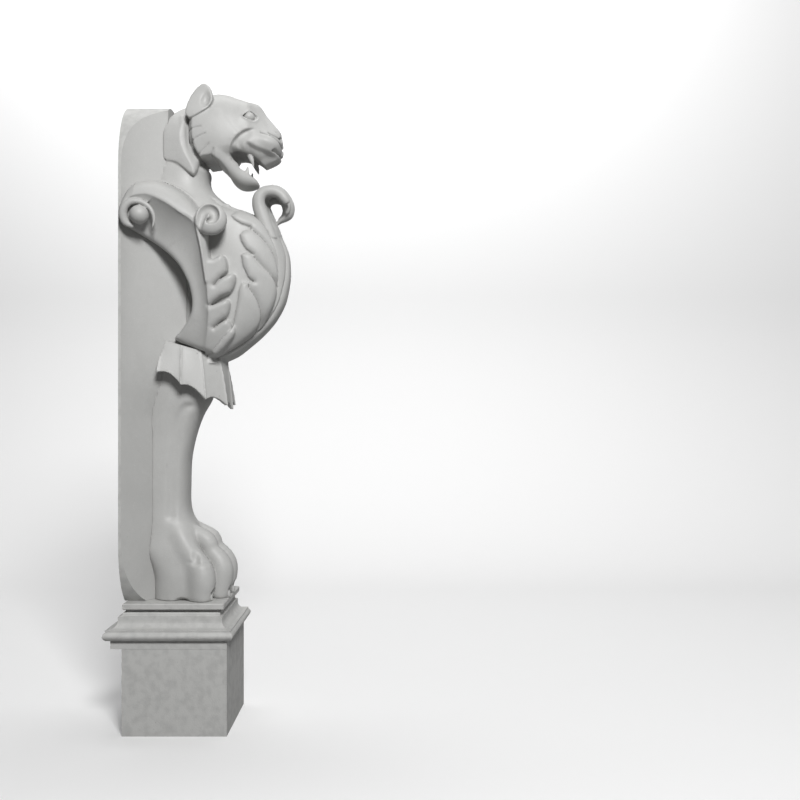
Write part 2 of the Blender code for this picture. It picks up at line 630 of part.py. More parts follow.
@dataclass
class FrontLeaf:
    """Acanthus leaf that wraps the chest and rolls over under the chin.

    Its lobes swell like cushions between the outline, which is drawn in the side view, and the creases,
    which are rows of x, y, z.
    """

    proud: float = 6.5
    swell: float = 12.0
    outline: Rows = (
        (-215, 930), (-108, 930), (-101, 905), (-93, 896), (-100, 888), (-112, 881), (-127, 877), (-128,
                                                                                                   872),
                                                                                                   (-116,
                                                                                                    869),
        (-109, 862), (-112, 850), (-120, 837), (-133, 828), (-121, 831), (-112, 827), (-115, 808), (-124,
                                                                                                    788),
        (-133, 781), (-113, 778), (-108, 766), (-106, 746), (-96, 700), (-60, 660), (-60, 630), (-215, 630))
    creases: Sequence[Rows] = (
        ((9, -155, 892), (12, -166, 879), (14, -175, 862), (17, -185, 830), (20, -186, 802), (24, -182, 777),
         (28, -166, 733), (30, -146, 705), (34, -115, 678), (41, -71, 653)),
        ((26, -99, 931), (39, -126, 901), (44, -151, 878), (44, -163, 851), (42, -172, 824), (40, -175, 801),
         (37, -174, 777), (33, -163, 732), (30, -148, 708)),
        ((65, -127, 874), (61, -136, 865), (56, -149, 851), (49, -165, 825), (44, -172, 802), (39, -172,
                                                                                               772)),
        ((39, -172, 771), (50, -163, 787), (64, -143, 811), (70, -133, 824)),
        ((72, -128, 780), (71, -124, 771), (64, -136, 750), (50, -146, 715), (34, -139, 693)))
    curl: Rows = ((0, -176, 848, 1), (0, -165, 870, 9), (0, -152, 890, 13), (0, -142, 912, 13), (0, -137,
                                                                                                 930, 13),
                  (0, -140, 944, 12), (0, -152, 952, 11), (0, -164.5, 951, 10.5), (0, -174.5, 943.5, 10.5),
                  (0, -182.5, 931, 10.5), (0, -185.3, 922, 10.3), (0, -184.5, 912, 9.5), (0, -180, 905.5,
                                                                                          7.5),
                  (0, -172, 899.5, 5), (0, -164.5, 891.5, 1.5))
    wing: Rows = ((35, -172, 838, 1), (35, -163, 858, 7), (34, -149, 886, 11.5), (34, -142, 903, 12.5),
                  (35, -137, 919, 12), (36, -137, 932, 11.5), (36, -144, 942, 10.5), (36, -155, 945.8, 10),
                  (36, -166, 944.6, 9.5),
                  (36.5, -176, 939, 8.5), (37, -182, 932, 8), (37, -185, 928, 7))

    def model(self, clay: Clay) -> None:
        """Add the leaf to the clay."""
        clay.press(self.lobes, ((0, 92), (-208, -50), (640, 932)))
        box = ((0, 60), (-208, -95), (862, 972))
        shape = limb(smooth_line(self.curl, 3), 2.3)
        wing = limb(smooth_line(self.wing, 3))
        clay.add(lambda x, y, z: soft_min(shape(x, y, z), wing(x, y, z), 1.0), box, 2)
        clay.press(lambda x, y, z: 2.2 * np.exp(-((x - 12.0) / 5.0) ** 2) * blend(z, 884.0, 905.0) + 0.0 * y,
                   ((0, 30), (-208, -140), (884, 972)))
        clay.press(lambda x, y, z: -1.6 * np.exp(-(x / 1.8) ** 2) * blend(z, 884.0, 905.0) + 0.0 * y,
                   ((0, 8), (-208, -150), (884, 972)))

    @staticmethod
    def around(x: Array, y: Array, z: Array) -> Array:
        """Way around the chest from its front line, in millimetres."""
        front, back, half = through(Chest.barrel, z)
        return 80.0 * np.arctan2(x / half, ((front + back) / 2 - y) / ((back - front) / 2))

    def lobes(self, x: Array, y: Array, z: Array) -> Array:
        """Lift of the lobes: creases sink into the front, and the lobes stand out of the side."""
        side = blend(x, 34.0, 58.0)
        edge = 90.0 * (1.0 - side) - loop_distance(y, z, np.array(self.outline, float))
        way = self.around(x, y, z)
        for crease in self.creases:
            cx, cy, cz = smooth_line(crease, 3).T
            line = np.c_[self.around(cx, cy, cz), cz, 0.0 * cz]
            edge = np.minimum(edge, line_distance(way, z + 0.0 * y, line)[0])
        share = np.clip(edge / self.swell, 0.0, 1.0)
        return self.proud * (1.0 - side - np.sqrt(1.0 - (1.0 - share) ** 2)) * blend(-y, 40.0, 70.0)


@dataclass
class Head:
    """Head with open jaws, its ruff and the collar behind.

    Rows of the lofts are y, top, low and widest heights, half width, and fullness above and below.
    """

    skull: Rows = (
        (-175.0, 1040, 1022, 1031, 12, 2.0, 2.0), (-172.0, 1052, 1010, 1030, 27, 1.7, 2.2),
        (-167.0, 1060, 1003, 1029, 36, 1.5, 2.2), (-160.0, 1067, 999, 1029, 43, 1.4, 2.2),
        (-150.0, 1078, 994.5, 1031, 47.5, 1.35, 2.2), (-141.0, 1092, 990.5, 1032, 50, 1.35, 2.3),
        (-134.0, 1101, 991.5, 1034, 52, 1.45, 2.4), (-127.0, 1106, 997, 1036, 54.5, 1.75, 2.6),
        (-118.0, 1108.5, 1003, 1038, 57.5, 2.6, 2.8), (-108.0, 1111.5, 1006, 1040, 60, 2.7, 2.8),
        (-96.0, 1116, 1004, 1041, 62, 2.4, 2.8), (-80.0, 1122, 998, 1043, 64.5, 2.25, 2.8),
        (-62.0, 1124, 1002, 1044, 66, 2.25, 2.8), (-45.0, 1121, 1004, 1044, 66.5, 2.25, 2.8),
        (-30.0, 1113, 1010, 1044, 64, 2.5, 2.8), (-18.0, 1104, 1016, 1044, 58, 2.5, 2.8))
    bridge: Rows = (
        (-172.5, 1055, 1036, 1045, 14, 3.0, 2.0), (-170.5, 1058.5, 1034, 1046, 16, 3.0, 2.0),
        (-166.0, 1064.5, 1034, 1049, 17.5, 3.0, 2.0), (-157.0, 1075, 1036, 1055, 17, 3.0, 2.0),
        (-147.0, 1087, 1040, 1064, 16, 3.0, 2.0), (-138.5, 1100, 1050, 1076, 18, 2.8, 2.0),
        (-131.0, 1107, 1058, 1084, 23, 2.6, 2.0), (-120.0, 1108.8, 1064, 1088, 32, 2.4, 2.0))
    jaw: Rows = (
        (-133.0, 967, 962, 965, 9, 2.2, 2.0), (-130.0, 970.5, 958, 966, 20, 2.6, 2.0), (-124.0, 975, 955,
                                                                                        969, 27, 3.0, 2.1),
        (-115.0, 981.5, 953, 973, 32.5, 3.2, 2.2), (-104.0, 990.5, 953.5, 979, 38, 3.4, 2.2),
        (-95.0, 999, 957.5, 987, 44, 3.4, 2.2), (-86.0, 1007, 966, 994, 50, 3.0, 2.2),
        (-77.0, 1013, 979.5, 1002, 55, 2.6, 2.2), (-66.0, 1018, 990, 1008, 57, 2.4, 2.2))
    gape: Rows = (
        (-88, 1008), (-93, 1013.5), (-101, 1014), (-112, 1011), (-124, 1003), (-135, 994), (-143, 986.5),
        (-150, 978),
        (-152, 950), (-136, 961), (-130, 971), (-121, 978.5), (-111, 986), (-100, 995.5), (-92, 1003))
    ruff: Rows = (
        (-24, 1072), (-22.5, 1060), (-22.5, 1047), (-24, 1031.5), (-28, 1016), (-37, 1000), (-48, 1002),
        (-58, 1002.5),
        (-70, 995.7), (-80, 986), (-90, 972), (-110, 990), (-104, 1040), (-70, 1082), (-40, 1084))
    collar: Rows = (
        (-20, 1102), (3, 1092.5), (15, 1080), (24.6, 1065), (28.5, 1047), (29.3, 1025), (27, 997), (7, 991),
        (-8.6, 980), (-19.6, 971.5), (-28, 970.5), (-33, 990), (-40, 1040), (-50, 1100))
    collar_ridge: Rows = ((-16, 1100), (-10, 1078), (-2.3, 1052), (-1.5, 1030), (-7.7, 1010), (-18.6, 990),
                          (-27, 970.5))
    inner_ring: Rows = ((46, -4, 1072), (53, -6.5, 1056), (55, -8.5, 1036), (54.5, -11.5, 1016), (52, -18,
                                                                                                  998), (48,
                                                                                                         -27,
                                                                                                         982))
    cheek_fold: Rows = ((-132, 1054), (-126.8, 1053.2), (-112.7, 1047.5), (-100, 1036), (-91, 1022), (-88,
                                                                                                      1008))
    ear_edge: Rows = ((-44.5, 1128.8), (-34, 1123), (-24.5, 1112), (-17, 1096), (-13, 1076), (-19, 1066.5),
                      (-27, 1068),
                      (-41, 1076), (-52.5, 1085), (-59.5, 1097), (-59, 1110), (-55, 1122))
    upper_fang: Rows = ((30.5, -120, 1010, 6), (31, -124, 1000, 4.4), (31, -127.5, 988.5, 0.9))
    lower_fang: Rows = ((26, -113, 973, 5.5), (26, -114.5, 981, 4), (26, -116.5, 993, 0.9))
    pad_slits: Sequence[Rows] = (
        ((19, 1040.5), (26, 1043), (33, 1046.5)),
        ((3, 1028.5), (12, 1029), (22, 1031.5), (31, 1036), (38, 1042), (43, 1047)),
        ((4, 1013.5), (14, 1013.5), (25, 1015), (36, 1017.5)))
    ruff_cuts: Sequence[Rows] = (
        ((-20, 1046), (-30, 1049), (-40, 1051)), ((-21, 1025), (-35, 1033), (-48, 1039)),
        ((-36, 1004), (-45, 1012), (-54, 1022)), ((-56, 1003), (-59, 1008), (-62, 1014)))
    box: Box = ((0, 90), (-190, 45), (935, 1138))

    def model(self, clay: Clay) -> None:
        """Add the head to the clay."""
        box = self.box
        part = Clay(clay.low, clay.high, clay.cell)
        part.add(loft(self.skull), box, 1)
        part.add(loft(self.bridge), box, 4)
        part.add(egg((24, -147, 1033), (26.5, 27.5, 16.5), 20), box, 4)
        part.add(plate(np.array(self.ruff, float), 0, lambda y, z: 67.5 - 0.004 * (z - 1040) ** 2
                       - blend(-y, 62.0, 112.0) * (6 + 22 * blend(-z, -1022.0, -1000.0)), 4), box, 5)
        part.press(self.below_fold, ((24, 90), (-150, -70), (990, 1062)))
        self.eyes(part)
        self.muzzle(part)
        part.add(loft(self.jaw), box, 5)
        self.mouth(part)
        self.back(part)
        self.ears(part)
        cut, _ = part.window(box)
        clay.body[cut] = soft_min(clay.body[cut], part.body[cut], 2.0)

    def below_fold(self, x: Array, y: Array, z: Array) -> Array:
        """Step down of the lip below the cheek's fold."""
        fold = smooth_line(self.cheek_fold, 4)
        gap = line_distance(y, z, np.c_[fold, np.zeros(len(fold))])[0]
        side = loop_distance(y, z, np.r_[fold, [(-92, 980), (-190, 980), (-190, 1054)]])
        deep = blend(gap, 0.0, 2.5) * (1.0 - blend(gap, 5.0, 24.0)) * blend(y, -136.0, -118.0)
        return 6.0 * np.where(side < 0, deep, 0.0) + 0.0 * x

    def eyes(self, clay: Clay) -> None:
        """Sink an almond socket and set the eyeball in it."""
        box = ((18, 75), (-155, -95), (1052, 1098))
        centre = np.array([45.0, -126.0, 1075.0])

        def socket(x: Array, y: Array, z: Array) -> Array:
            """Depth of the socket, steep at the upper lid."""
            along = (x - centre[0]) * 0.8 + (y - centre[1]) * 0.6
            rise = np.abs(z - centre[2] + 0.15 * along)
            inside = 8.2 * (1.0 - (along / 17.5) ** 2) - rise - np.maximum(np.abs(along) - 17.5, 0.0)
            near = np.exp(-((along ** 2 + 4.0 * rise ** 2) / 26.0 ** 2) ** 3)
            return near * (7.2 * blend(inside, -0.4, 1.2) - 1.8 * np.exp(-((inside + 2.4) / 1.7) ** 2))
        clay.press(socket, box)
        clay.add(egg((39.6, -119.0, 1074.3), (11.6, 11.6, 9.6)), box, 0.4)

    def muzzle(self, clay: Clay) -> None:
        """Carve nose, philtrum and whisker slits."""
        box = ((0, 60), (-190, -140), (985, 1066))
        clay.press(self.overhang, ((14, 60), (-176, -112), (992, 1034)))
        for slit in self.pad_slits:
            clay.press(furrow(slit, 6.5, 1.9, True), box)
        clay.press(furrow(((0, 1033), (0, 1018), (0, 1000)), 5.0, 2.6, True), ((0, 12), (-190, -150), (995,
                                                                                                       1040)))
        clay.cut(egg((13, -173, 1041.5), (6.5, 5, 2.4)), ((2, 26), (-186, -160), (1034, 1050)), 1)
        clay.press(furrow(((0, 1046), (10, 1045.5), (17, 1042)), 2.0, 1.5, True), ((0, 22), (-190, -160),
                                                                                   (1036, 1052)))
        clay.press(furrow(((17.5, 1056), (16, 1046), (10, 1036), (2, 1028)), 1.6, 1.3, True),
                   ((0, 26), (-190, -162), (1026, 1056)))

    @staticmethod
    def overhang(x: Array, y: Array, z: Array) -> Array:
        """Step in of the lip below the whisker pad."""
        brink = np.interp(y, (-164.0, -133.0, -118.0), (1014.0, 1024.0, 1031.0))
        return 6.5 * blend(brink - z, 0.0, 9.0) * blend(x, 16.0, 30.0) * blend(-y, 112.0, 124.0)

    def mouth(self, clay: Clay) -> None:
        """Open the mouth and set the four fangs."""
        box = self.box
        clay.cut(plate(np.array(self.gape, float), -9, lambda y, z: 90.0 + 0.0 * (y + z), 1), box, 3)
        clay.cut(egg((0, -112, 1003), (42, 36, 17), 27), box, 3)
        clay.cut(egg((0, -103, 988), (31, 27, 12), -38), box, 3)
        clay.add(limb(self.upper_fang), box, 0.6)
        clay.add(limb(self.lower_fang), box, 0.6)

    def back(self, clay: Clay) -> None:
        """Model the collar behind the ruff, with the deep gap between them."""
        ridge = smooth_line(self.collar_ridge, 4)
        front = np.r_[ridge, [(-60, 960), (-60, 1100)]]

        def reach(y: Array, z: Array) -> Array:
            """Half width of the collar: full behind its ridge, falling into the gap before it."""
            full = 61.5 - 0.12 * (y + 5) - np.where(z > 1035, 0.0095, 0.0010) * (z - 1035) ** 2
            return full - 17.0 * blend(-loop_distance(y, z, front), 0.0, 20.0)
        clay.add(plate(smooth_line(self.collar, 3, True), 0, reach, 5), self.box, 0.6)
        clay.press(groove(self.inner_ring, -3.2, 3.6), ((30, 70), (-45, 12), (965, 1085)))
        for cut in self.ruff_cuts:
            clay.press(furrow(cut, 1.7, 1.4), ((45, 90), (-66, -18), (995, 1060)))

    def ears(self, clay: Clay) -> None:
        """Add the upright ear with its shallow hollow."""
        flap = smooth_line(self.ear_edge, 4, True)
        clay.add(plate(flap, lambda y, z: 38 + 15 * blend(z, 1090, 1126) + 0.0 * y,
                       lambda y, z: 60.5 + 8 * blend(-z, -1116, -1072) + 0.0 * y, 3), self.box, 1.5)
        clay.cut(egg((71, -49, 1103), (13, 10.5, 19), 12), ((50, 90), (-66, -30), (1078, 1130)), 1.5)


def sculpt(cell: float) -> Clay:
    """Whole figure as clay, before it is trimmed to the slab and the cap."""
    clay = Clay(FIGURE_LOW, FIGURE_HIGH, cell)
    for piece in (Leg(), Paw(), Skirt(), Chest(), Shoulder(), FrontLeaf(), Head()):
        piece.model(clay)
    return clay


def slab_front(x: Array, z: Array) -> Array:
    """Front face of the slab: thin at the edge, thick towards the figure's back."""
    u = SLAB_HALF - np.abs(x)
    up = blend(z, 540.0, 660.0)
    slope = 0.8 + (0.75 - 0.8) * up
    swell = -0.0004 + (0.0185 + 0.0004) * up
    ridge = 38 - 48 * blend(z, 540.0, 660.0) + 30 * blend(z, 900.0, 960.0)
    return np.maximum(SLAB_BACK - SLAB_EDGE - slope * u - swell * u * u, ridge)


def slab_rows() -> Rows:
    """Height and half width of each row of the slab, arch to arch."""
    low_angle = math.asin((ARCH_LOW_Z - CAP_TOP - GAP) / ARCH_REACH_Z)
    rows = []
    for i in range(SLAB_ROWS_ARCH):
        a = low_angle * (1 - i / SLAB_ROWS_ARCH)
        rows.append((ARCH_LOW_Z - ARCH_REACH_Z * math.sin(a), ARCH_CENTRE_X + ARCH_REACH_X * math.cos(a)))
    for i in range(SLAB_ROWS_BETWEEN + 1):
        rows.append((ARCH_LOW_Z + (ARCH_TOP_Z - ARCH_LOW_Z) * i / SLAB_ROWS_BETWEEN, SLAB_HALF))
    for i in range(1, SLAB_ROWS_ARCH + 1):
        a = math.pi / 2 * i / SLAB_ROWS_ARCH
        rows.append((ARCH_TOP_Z + ARCH_REACH_Z * math.sin(a), ARCH_CENTRE_X + ARCH_REACH_X * math.cos(a)))
    return rows


def slab_mesh(name: str, grow: float = 0.0) -> bpy.types.Object:
    """Closed slab between its flat back and its swelling front, its faces moved out by grow."""
    rows = slab_rows()
    turn = [math.sin(math.pi / 2 * k / SLAB_COLUMNS) for k in range(-SLAB_COLUMNS, SLAB_COLUMNS + 1)]
    bm = bmesh.new()
    sheets = []
    for back in (False, True):
        sheet = []
        for z, half in rows:
            line = []
            for t in turn:
                x = t * half
                y = SLAB_BACK if back else float(slab_front(x, z))
                line.append(bm.verts.new((x * MM, y * MM, z * MM)))
            sheet.append(line)
        sheets.append(sheet)
    front, back = sheets
    for i in range(len(rows) - 1):
        for k in range(len(turn) - 1):
            bm.faces.new((front[i][k], front[i][k + 1], front[i + 1][k + 1], front[i + 1][k]))
            bm.faces.new((back[i][k], back[i + 1][k], back[i + 1][k + 1], back[i][k + 1]))
    rim = [(i, 0) for i in range(len(rows))] + [(len(rows) - 1, k) for k in range(1, len(turn))]
    rim += [(i, len(turn) - 1) for i in range(len(rows) - 2, -1, -1)]
    rim += [(0, k) for k in range(len(turn) - 2, 0, -1)]
    for (i, k), (j, m) in zip(rim, rim[1:] + rim[:1]):
        bm.faces.new((front[i][k], front[j][m], back[j][m], back[i][k]))
    bmesh.ops.triangulate(bm, faces=bm.faces)
    bmesh.ops.recalc_face_normals(bm, faces=bm.faces)
    bm.normal_update()
    moves = [(v, v.normal * v.calc_shell_factor() * grow * MM) for v in bm.verts]
    for v, move in moves:
        v.co += move
    return mesh_from(bm, name)


def cap_profile() -> Rows:
    """Cap moulding from the bottom up: half width in X, and height."""
    arc = [math.radians(a) for a in range(0, 91, 15)]
    torus = [(97 + 4.5 * math.sin(math.pi * k / 8), LIP_TOP + GAP + 15.2 * k / 8) for k in range(9)]
    cavetto = [(93 - 12.7 * math.sin(a), 195 - 12 * math.cos(a)) for a in arc]
    ovolo = [(72 + 4.1 * math.cos(a), 203.9 + 5.9 * math.sin(a)) for a in arc[::2]]
    return (torus + [(97.5, 180.6), (97.5, 182.4)] + cavetto + [(80.3, 202.5), (76.5, 203.4)]
            + ovolo + [(71, 210.4), (71, ABACUS_FOOT)])


def cap_rings() -> Rows:
    """Corners of each level of the cap: half width, front, back and height."""
    rings = [(h, -h, h + CAP_BACK_SHIFT - (2.0 if z > 203 else 0.0), z) for h, z in cap_profile()]
    levels = ((ARRIS, ABACUS_FOOT + 0.01), (0, ABACUS_FOOT + ARRIS), (0, CAP_TOP - ARRIS), (ARRIS, CAP_TOP))
    for inset, z in levels:
        rings.append((ABACUS_HALF - inset, ABACUS_FRONT + inset, ABACUS_BACK - inset, z))
    return rings


def ring_stack(name: str, rings: Rows) -> bpy.types.Object:
    """Closed solid of rectangular rings stacked upwards."""
    bm = bmesh.new()
    levels = []
    for half, front, back, z in rings:
        corners = ((-half, front), (half, front), (half, back), (-half, back))
        levels.append([bm.verts.new((x * MM, y * MM, z * MM)) for x, y in corners])
    for low, high in zip(levels, levels[1:]):
        for i in range(4):
            j = (i + 1) % 4
            bm.faces.new((low[i], low[j], high[j], high[i]))
    bm.faces.new(levels[0][::-1])
    bm.faces.new(levels[-1])
    return mesh_from(bm, name)


def mesh_from(bm: bmesh.types.BMesh, name: str) -> bpy.types.Object:
    """Object in the scene made from a bmesh."""
    mesh = bpy.data.meshes.new(name)
    bm.to_mesh(mesh)
    bm.free()
    obj = bpy.data.objects.new(name, mesh)
    bpy.context.collection.objects.link(obj)
    return obj


def stone(name: str, value: float, roughness: float) -> bpy.types.Material:
    """Grey honed stone of one value."""
    material = bpy.data.materials.new(name)
    material.use_nodes = True
    shader = material.node_tree.nodes["Principled BSDF"]
    shader.inputs["Base Color"].default_value = (value, value, value * 0.99, 1)
    shader.inputs["Roughness"].default_value = roughness
    shader.inputs["Metallic"].default_value = 0.0
    return material


def add_pillar() -> None:
    """Square die of the pillar."""
    bottom, top = (DIE_HALF, -DIE_HALF, DIE_HALF, 0.0), (DIE_HALF, -DIE_HALF, DIE_HALF, DIE_HEIGHT)
    pillar = ring_stack("pillar", [bottom, top])
    pillar.data.materials.append(stone("pillar_stone", 0.33, 0.55))


def add_cap() -> None:
    """Cap moulding with the lip that runs out behind the die."""
    lip = [(DIE_HALF, -DIE_HALF, LIP_BACK, DIE_HEIGHT + GAP), (DIE_HALF, -DIE_HALF, LIP_BACK, LIP_TOP)]
    cap = ring_stack("cap_moulding", lip + cap_rings())
    cap.data.materials.append(stone("cap_stone", 0.34, 0.5))


def add_slab() -> None:
    """Arched slab behind the figure."""
    slab = slab_mesh("back_slab")
    slab.data.materials.append(stone("slab_stone", 0.36, 0.55))


def add_figure() -> None:
    """Figure with its base cut flat and its back fitted to the slab."""
    verts, quads = sculpt(CELL).skin()
    mesh = bpy.data.meshes.new("tiger_figure")
    mesh.from_pydata((verts * MM).tolist(), [], quads.tolist())
    figure = bpy.data.objects.new("tiger_figure", mesh)
    bpy.context.collection.objects.link(figure)
    figure.data.materials.append(stone("figure_stone", 0.37, 0.45))
    thin = figure.modifiers.new("thin", "DECIMATE")
    thin.ratio = FIGURE_TRIANGLES / (2 * len(quads))
    below = (FIGURE_HIGH[0], FIGURE_LOW[1] - 9, FIGURE_HIGH[1], FIGURE_LOW[2] - 9)
    foot = ring_stack("foot_cutter", [below, (below[0], below[1], below[2], CAP_TOP + GAP)])
    for cutter, solver in ((foot, "EXACT"), (slab_mesh("slab_cutter", GAP), "MANIFOLD")):
        cutter.hide_render = True
        cutter.display_type = "WIRE"
        trim = figure.modifiers.new("trim", "BOOLEAN")
        trim.operation = "DIFFERENCE"
        trim.solver = solver
        trim.object = cutter


def main() -> None:
    """Clear the scene and build the four pieces."""
    for old in list(bpy.data.objects):
        bpy.data.objects.remove(old, do_unlink=True)
    add_pillar()
    add_cap()
    add_slab()
    add_figure()


main()
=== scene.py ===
import json
import logging
import math
from dataclasses import dataclass, field
from enum import Enum
from typing import Callable, Sequence

import bmesh
import bpy
import numpy as np
from mathutils import Matrix, Vector

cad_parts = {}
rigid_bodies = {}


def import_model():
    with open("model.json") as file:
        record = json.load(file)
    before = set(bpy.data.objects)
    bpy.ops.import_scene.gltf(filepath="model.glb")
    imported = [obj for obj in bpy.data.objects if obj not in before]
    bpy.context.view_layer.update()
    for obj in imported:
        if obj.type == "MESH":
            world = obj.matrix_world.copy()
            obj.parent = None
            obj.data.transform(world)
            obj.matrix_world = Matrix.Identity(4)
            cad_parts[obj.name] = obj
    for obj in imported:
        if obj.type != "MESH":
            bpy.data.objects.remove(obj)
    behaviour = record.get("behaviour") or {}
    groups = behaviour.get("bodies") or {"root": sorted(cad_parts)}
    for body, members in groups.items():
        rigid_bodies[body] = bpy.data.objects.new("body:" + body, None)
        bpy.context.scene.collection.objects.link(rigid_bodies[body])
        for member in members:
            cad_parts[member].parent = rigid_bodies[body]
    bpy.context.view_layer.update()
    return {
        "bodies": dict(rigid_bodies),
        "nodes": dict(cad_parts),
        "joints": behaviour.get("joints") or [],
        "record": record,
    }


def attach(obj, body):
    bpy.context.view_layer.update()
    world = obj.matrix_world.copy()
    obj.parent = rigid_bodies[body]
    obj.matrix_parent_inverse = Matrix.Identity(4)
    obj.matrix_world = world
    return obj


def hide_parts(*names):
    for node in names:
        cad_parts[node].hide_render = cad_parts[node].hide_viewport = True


LOG = logging.getLogger("tiger_on_pillar")
MM = 0.001

Array = np.ndarray
Form = Callable[[Array, Array, Array], Array]
Side = Callable[[Array, Array], Array]
Box = tuple[tuple[float, float], tuple[float, float], tuple[float, float]]
Rows = Sequence[Sequence[float]]
Sockets = Sequence[tuple[str, str]]
Colour = tuple[float, float, float, float]


def blend(value: Array, low: float, high: float) -> Array:
    """Smooth step from 0 at low to 1 at high."""
    t = np.clip((value - low) / (high - low), 0.0, 1.0)
    return t * t * (3.0 - 2.0 * t)


def soft_min(a: Array, b: Array, radius: float) -> Array:
    """Join two fields.

    Args:
        a: First field.
        b: Second field.
        radius: Size of the fillet between them.

    Returns:
        The smaller field with a fillet.
    """
    h = np.maximum(radius - np.abs(a - b), 0.0) / radius
    return np.minimum(a, b) - h * h * radius * 0.25


def soft_max(a: Array, b: Array, radius: float) -> Array:
    """Larger of two fields, with a rounded edge of the given radius."""
    return -soft_min(-a, -b, radius)


def smooth_line(points: Rows, steps: int = 5, closed: bool = False) -> Array:
    """Sample a smooth curve.

    Args:
        points: Points that the curve goes through.
        steps: Samples for each span.
        closed: Whether the last point joins the first.

    Returns:
        Points of a Catmull-Rom curve.
    """
    p = np.asarray(points, float)
    n = len(p)
    out = []
    for i in range(n if closed else n - 1):
        if closed:
            a, b, c, d = (p[(i + k - 1) % n] for k in range(4))
        else:
            a, b, c, d = p[max(i - 1, 0)], p[i], p[i + 1], p[min(i + 2, n - 1)]
        for s in range(steps):
            t = s / steps
            out.append(0.5 * (2 * b + (c - a) * t + (2 * a - 5 * b + 4 * c - d) * t * t
                              + (3 * b - a - 3 * c + d) * t ** 3))
    if not closed:
        out.append(p[-1])
    return np.array(out)


def through(table: Rows, at: Array) -> list[Array]:
    """Columns of a table read along a smooth curve, with column 0 as the place."""
    curve = smooth_line(sorted(table), 6)
    return [np.interp(at, curve[:, 0], curve[:, k]) for k in range(1, curve.shape[1])]


def line_distance(u: Array, v: Array, line: Array) -> tuple[Array, Array]:
    """Measure the way to an open line in a plane.

    Args:
        u: First coordinate.
        v: Second coordinate.
        line: Rows of u, v and one more value carried along the line.

    Returns:
        Distance to the line, and the value at its nearest point.
    """
    near = np.full(np.broadcast(u, v).shape, 1e9)
    value = np.zeros(near.shape)
    for a, b in zip(line[:-1], line[1:]):
        du, dv = b[0] - a[0], b[1] - a[1]
        t = np.clip(((u - a[0]) * du + (v - a[1]) * dv) / (du * du + dv * dv + 1e-9), 0.0, 1.0)
        gap = (u - a[0] - t * du) ** 2 + (v - a[1] - t * dv) ** 2
        closer = gap < near
        near = np.where(closer, gap, near)
        value = np.where(closer, a[2] + t * (b[2] - a[2]), value)
    return np.sqrt(near), value


def loop_distance(u: Array, v: Array, loop: Array) -> Array:
    """Signed distance from (u, v) to a closed loop, negative inside."""
    near = np.full(np.broadcast(u, v).shape, 1e9)
    inside = np.zeros(near.shape, bool)
    for (au, av), (bu, bv) in zip(loop, np.roll(loop, -1, axis=0)):
        du, dv = bu - au, bv - av
        t = np.clip(((u - au) * du + (v - av) * dv) / (du * du + dv * dv + 1e-9), 0.0, 1.0)
        near = np.minimum(near, (u - au - t * du) ** 2 + (v - av - t * dv) ** 2)
        if abs(dv) > 1e-9:
            inside ^= ((av > v) != (bv > v)) & (u < au + (v - av) * du / dv)
    near = np.sqrt(near)
    return np.where(inside, -near, near)


def egg(centre: Sequence[float], radii: Sequence[float], turn: float = 0.0) -> Form:
    """Ellipsoid form.

    Args:
        centre: Middle point.
        radii: Half sizes.
        turn: Degrees that it is turned in the side view.

    Returns:
        Its field.
    """
    c, s = math.cos(math.radians(turn)), math.sin(math.radians(turn))

    def form(x: Array, y: Array, z: Array) -> Array:
        """Field of the ellipsoid."""
        u, v = y - centre[1], z - centre[2]
        q = (((x - centre[0]) / radii[0]) ** 2 + ((u * c + v * s) / radii[1]) ** 2
             + ((v * c - u * s) / radii[2]) ** 2)
        return (np.sqrt(q) - 1.0) * min(radii)
    return form


def limb(points: Rows, flat: float = 1.0) -> Form:
    """Chain of round cones.

    Args:
        points: Rows of x, y, z and radius.
        flat: How much wider than deep the limb is across X.

    Returns:
        Its field.
    """
    rows = np.asarray(points, float)

    def form(x: Array, y: Array, z: Array) -> Array:
        """Field of the chain."""
        best = None
        for a, b in zip(rows[:-1], rows[1:]):
            d = b[:3] - a[:3]
            t = np.clip(((x - a[0]) * d[0] + (y - a[1]) * d[1] + (z - a[2]) * d[2]) / (d @ d), 0.0, 1.0)
            gap = np.sqrt(((x - a[0] - t * d[0]) / flat) ** 2 + (y - a[1] - t * d[1]) ** 2
                          + (z - a[2] - t * d[2]) ** 2) - (a[3] + t * (b[3] - a[3]))
            best = gap if best is None else np.minimum(best, gap)
        return best
    return form


def tower(table: Rows, power: float = 2.0) -> Form:
    """Upright body from rows of z, front y, back y and half width, smoothly joined."""
    def form(x: Array, y: Array, z: Array) -> Array:
        """Field of the body."""
        front, back, half = through(table, z)
        reach = (back - front) / 2
        q = (np.abs(x / half) ** power
             + np.abs((y - (front + back) / 2) / reach) ** power) ** (1.0 / power)
        return np.maximum((q - 1.0) * np.minimum(half, reach), np.maximum(table[0][0] - z, z - table[-1][0]))
    return form


def loft(table: Rows) -> Form:
    """Body that runs along Y.

    Args:
        table: Rows of y, top z, low z, widest z, half width, fullness above and below the widest height.

    Returns:
        Its field.
    """
    rows = sorted(table)

    def form(x: Array, y: Array, z: Array) -> Array:
        """Field of the body."""
        top, low, wide, half, above, below = through(rows, y)
        rise = np.where(z > wide, (z - wide) / (top - wide), (wide - z) / (wide - low))
        power = np.where(z > wide, above, below)
        q = (np.abs(x / half) ** power + rise ** power) ** (1.0 / power)
        side = (q - 1.0) * np.minimum(half, (top - low) / 2)
        return np.maximum(side, np.maximum(rows[0][0] - y, y - rows[-1][0]))
    return form


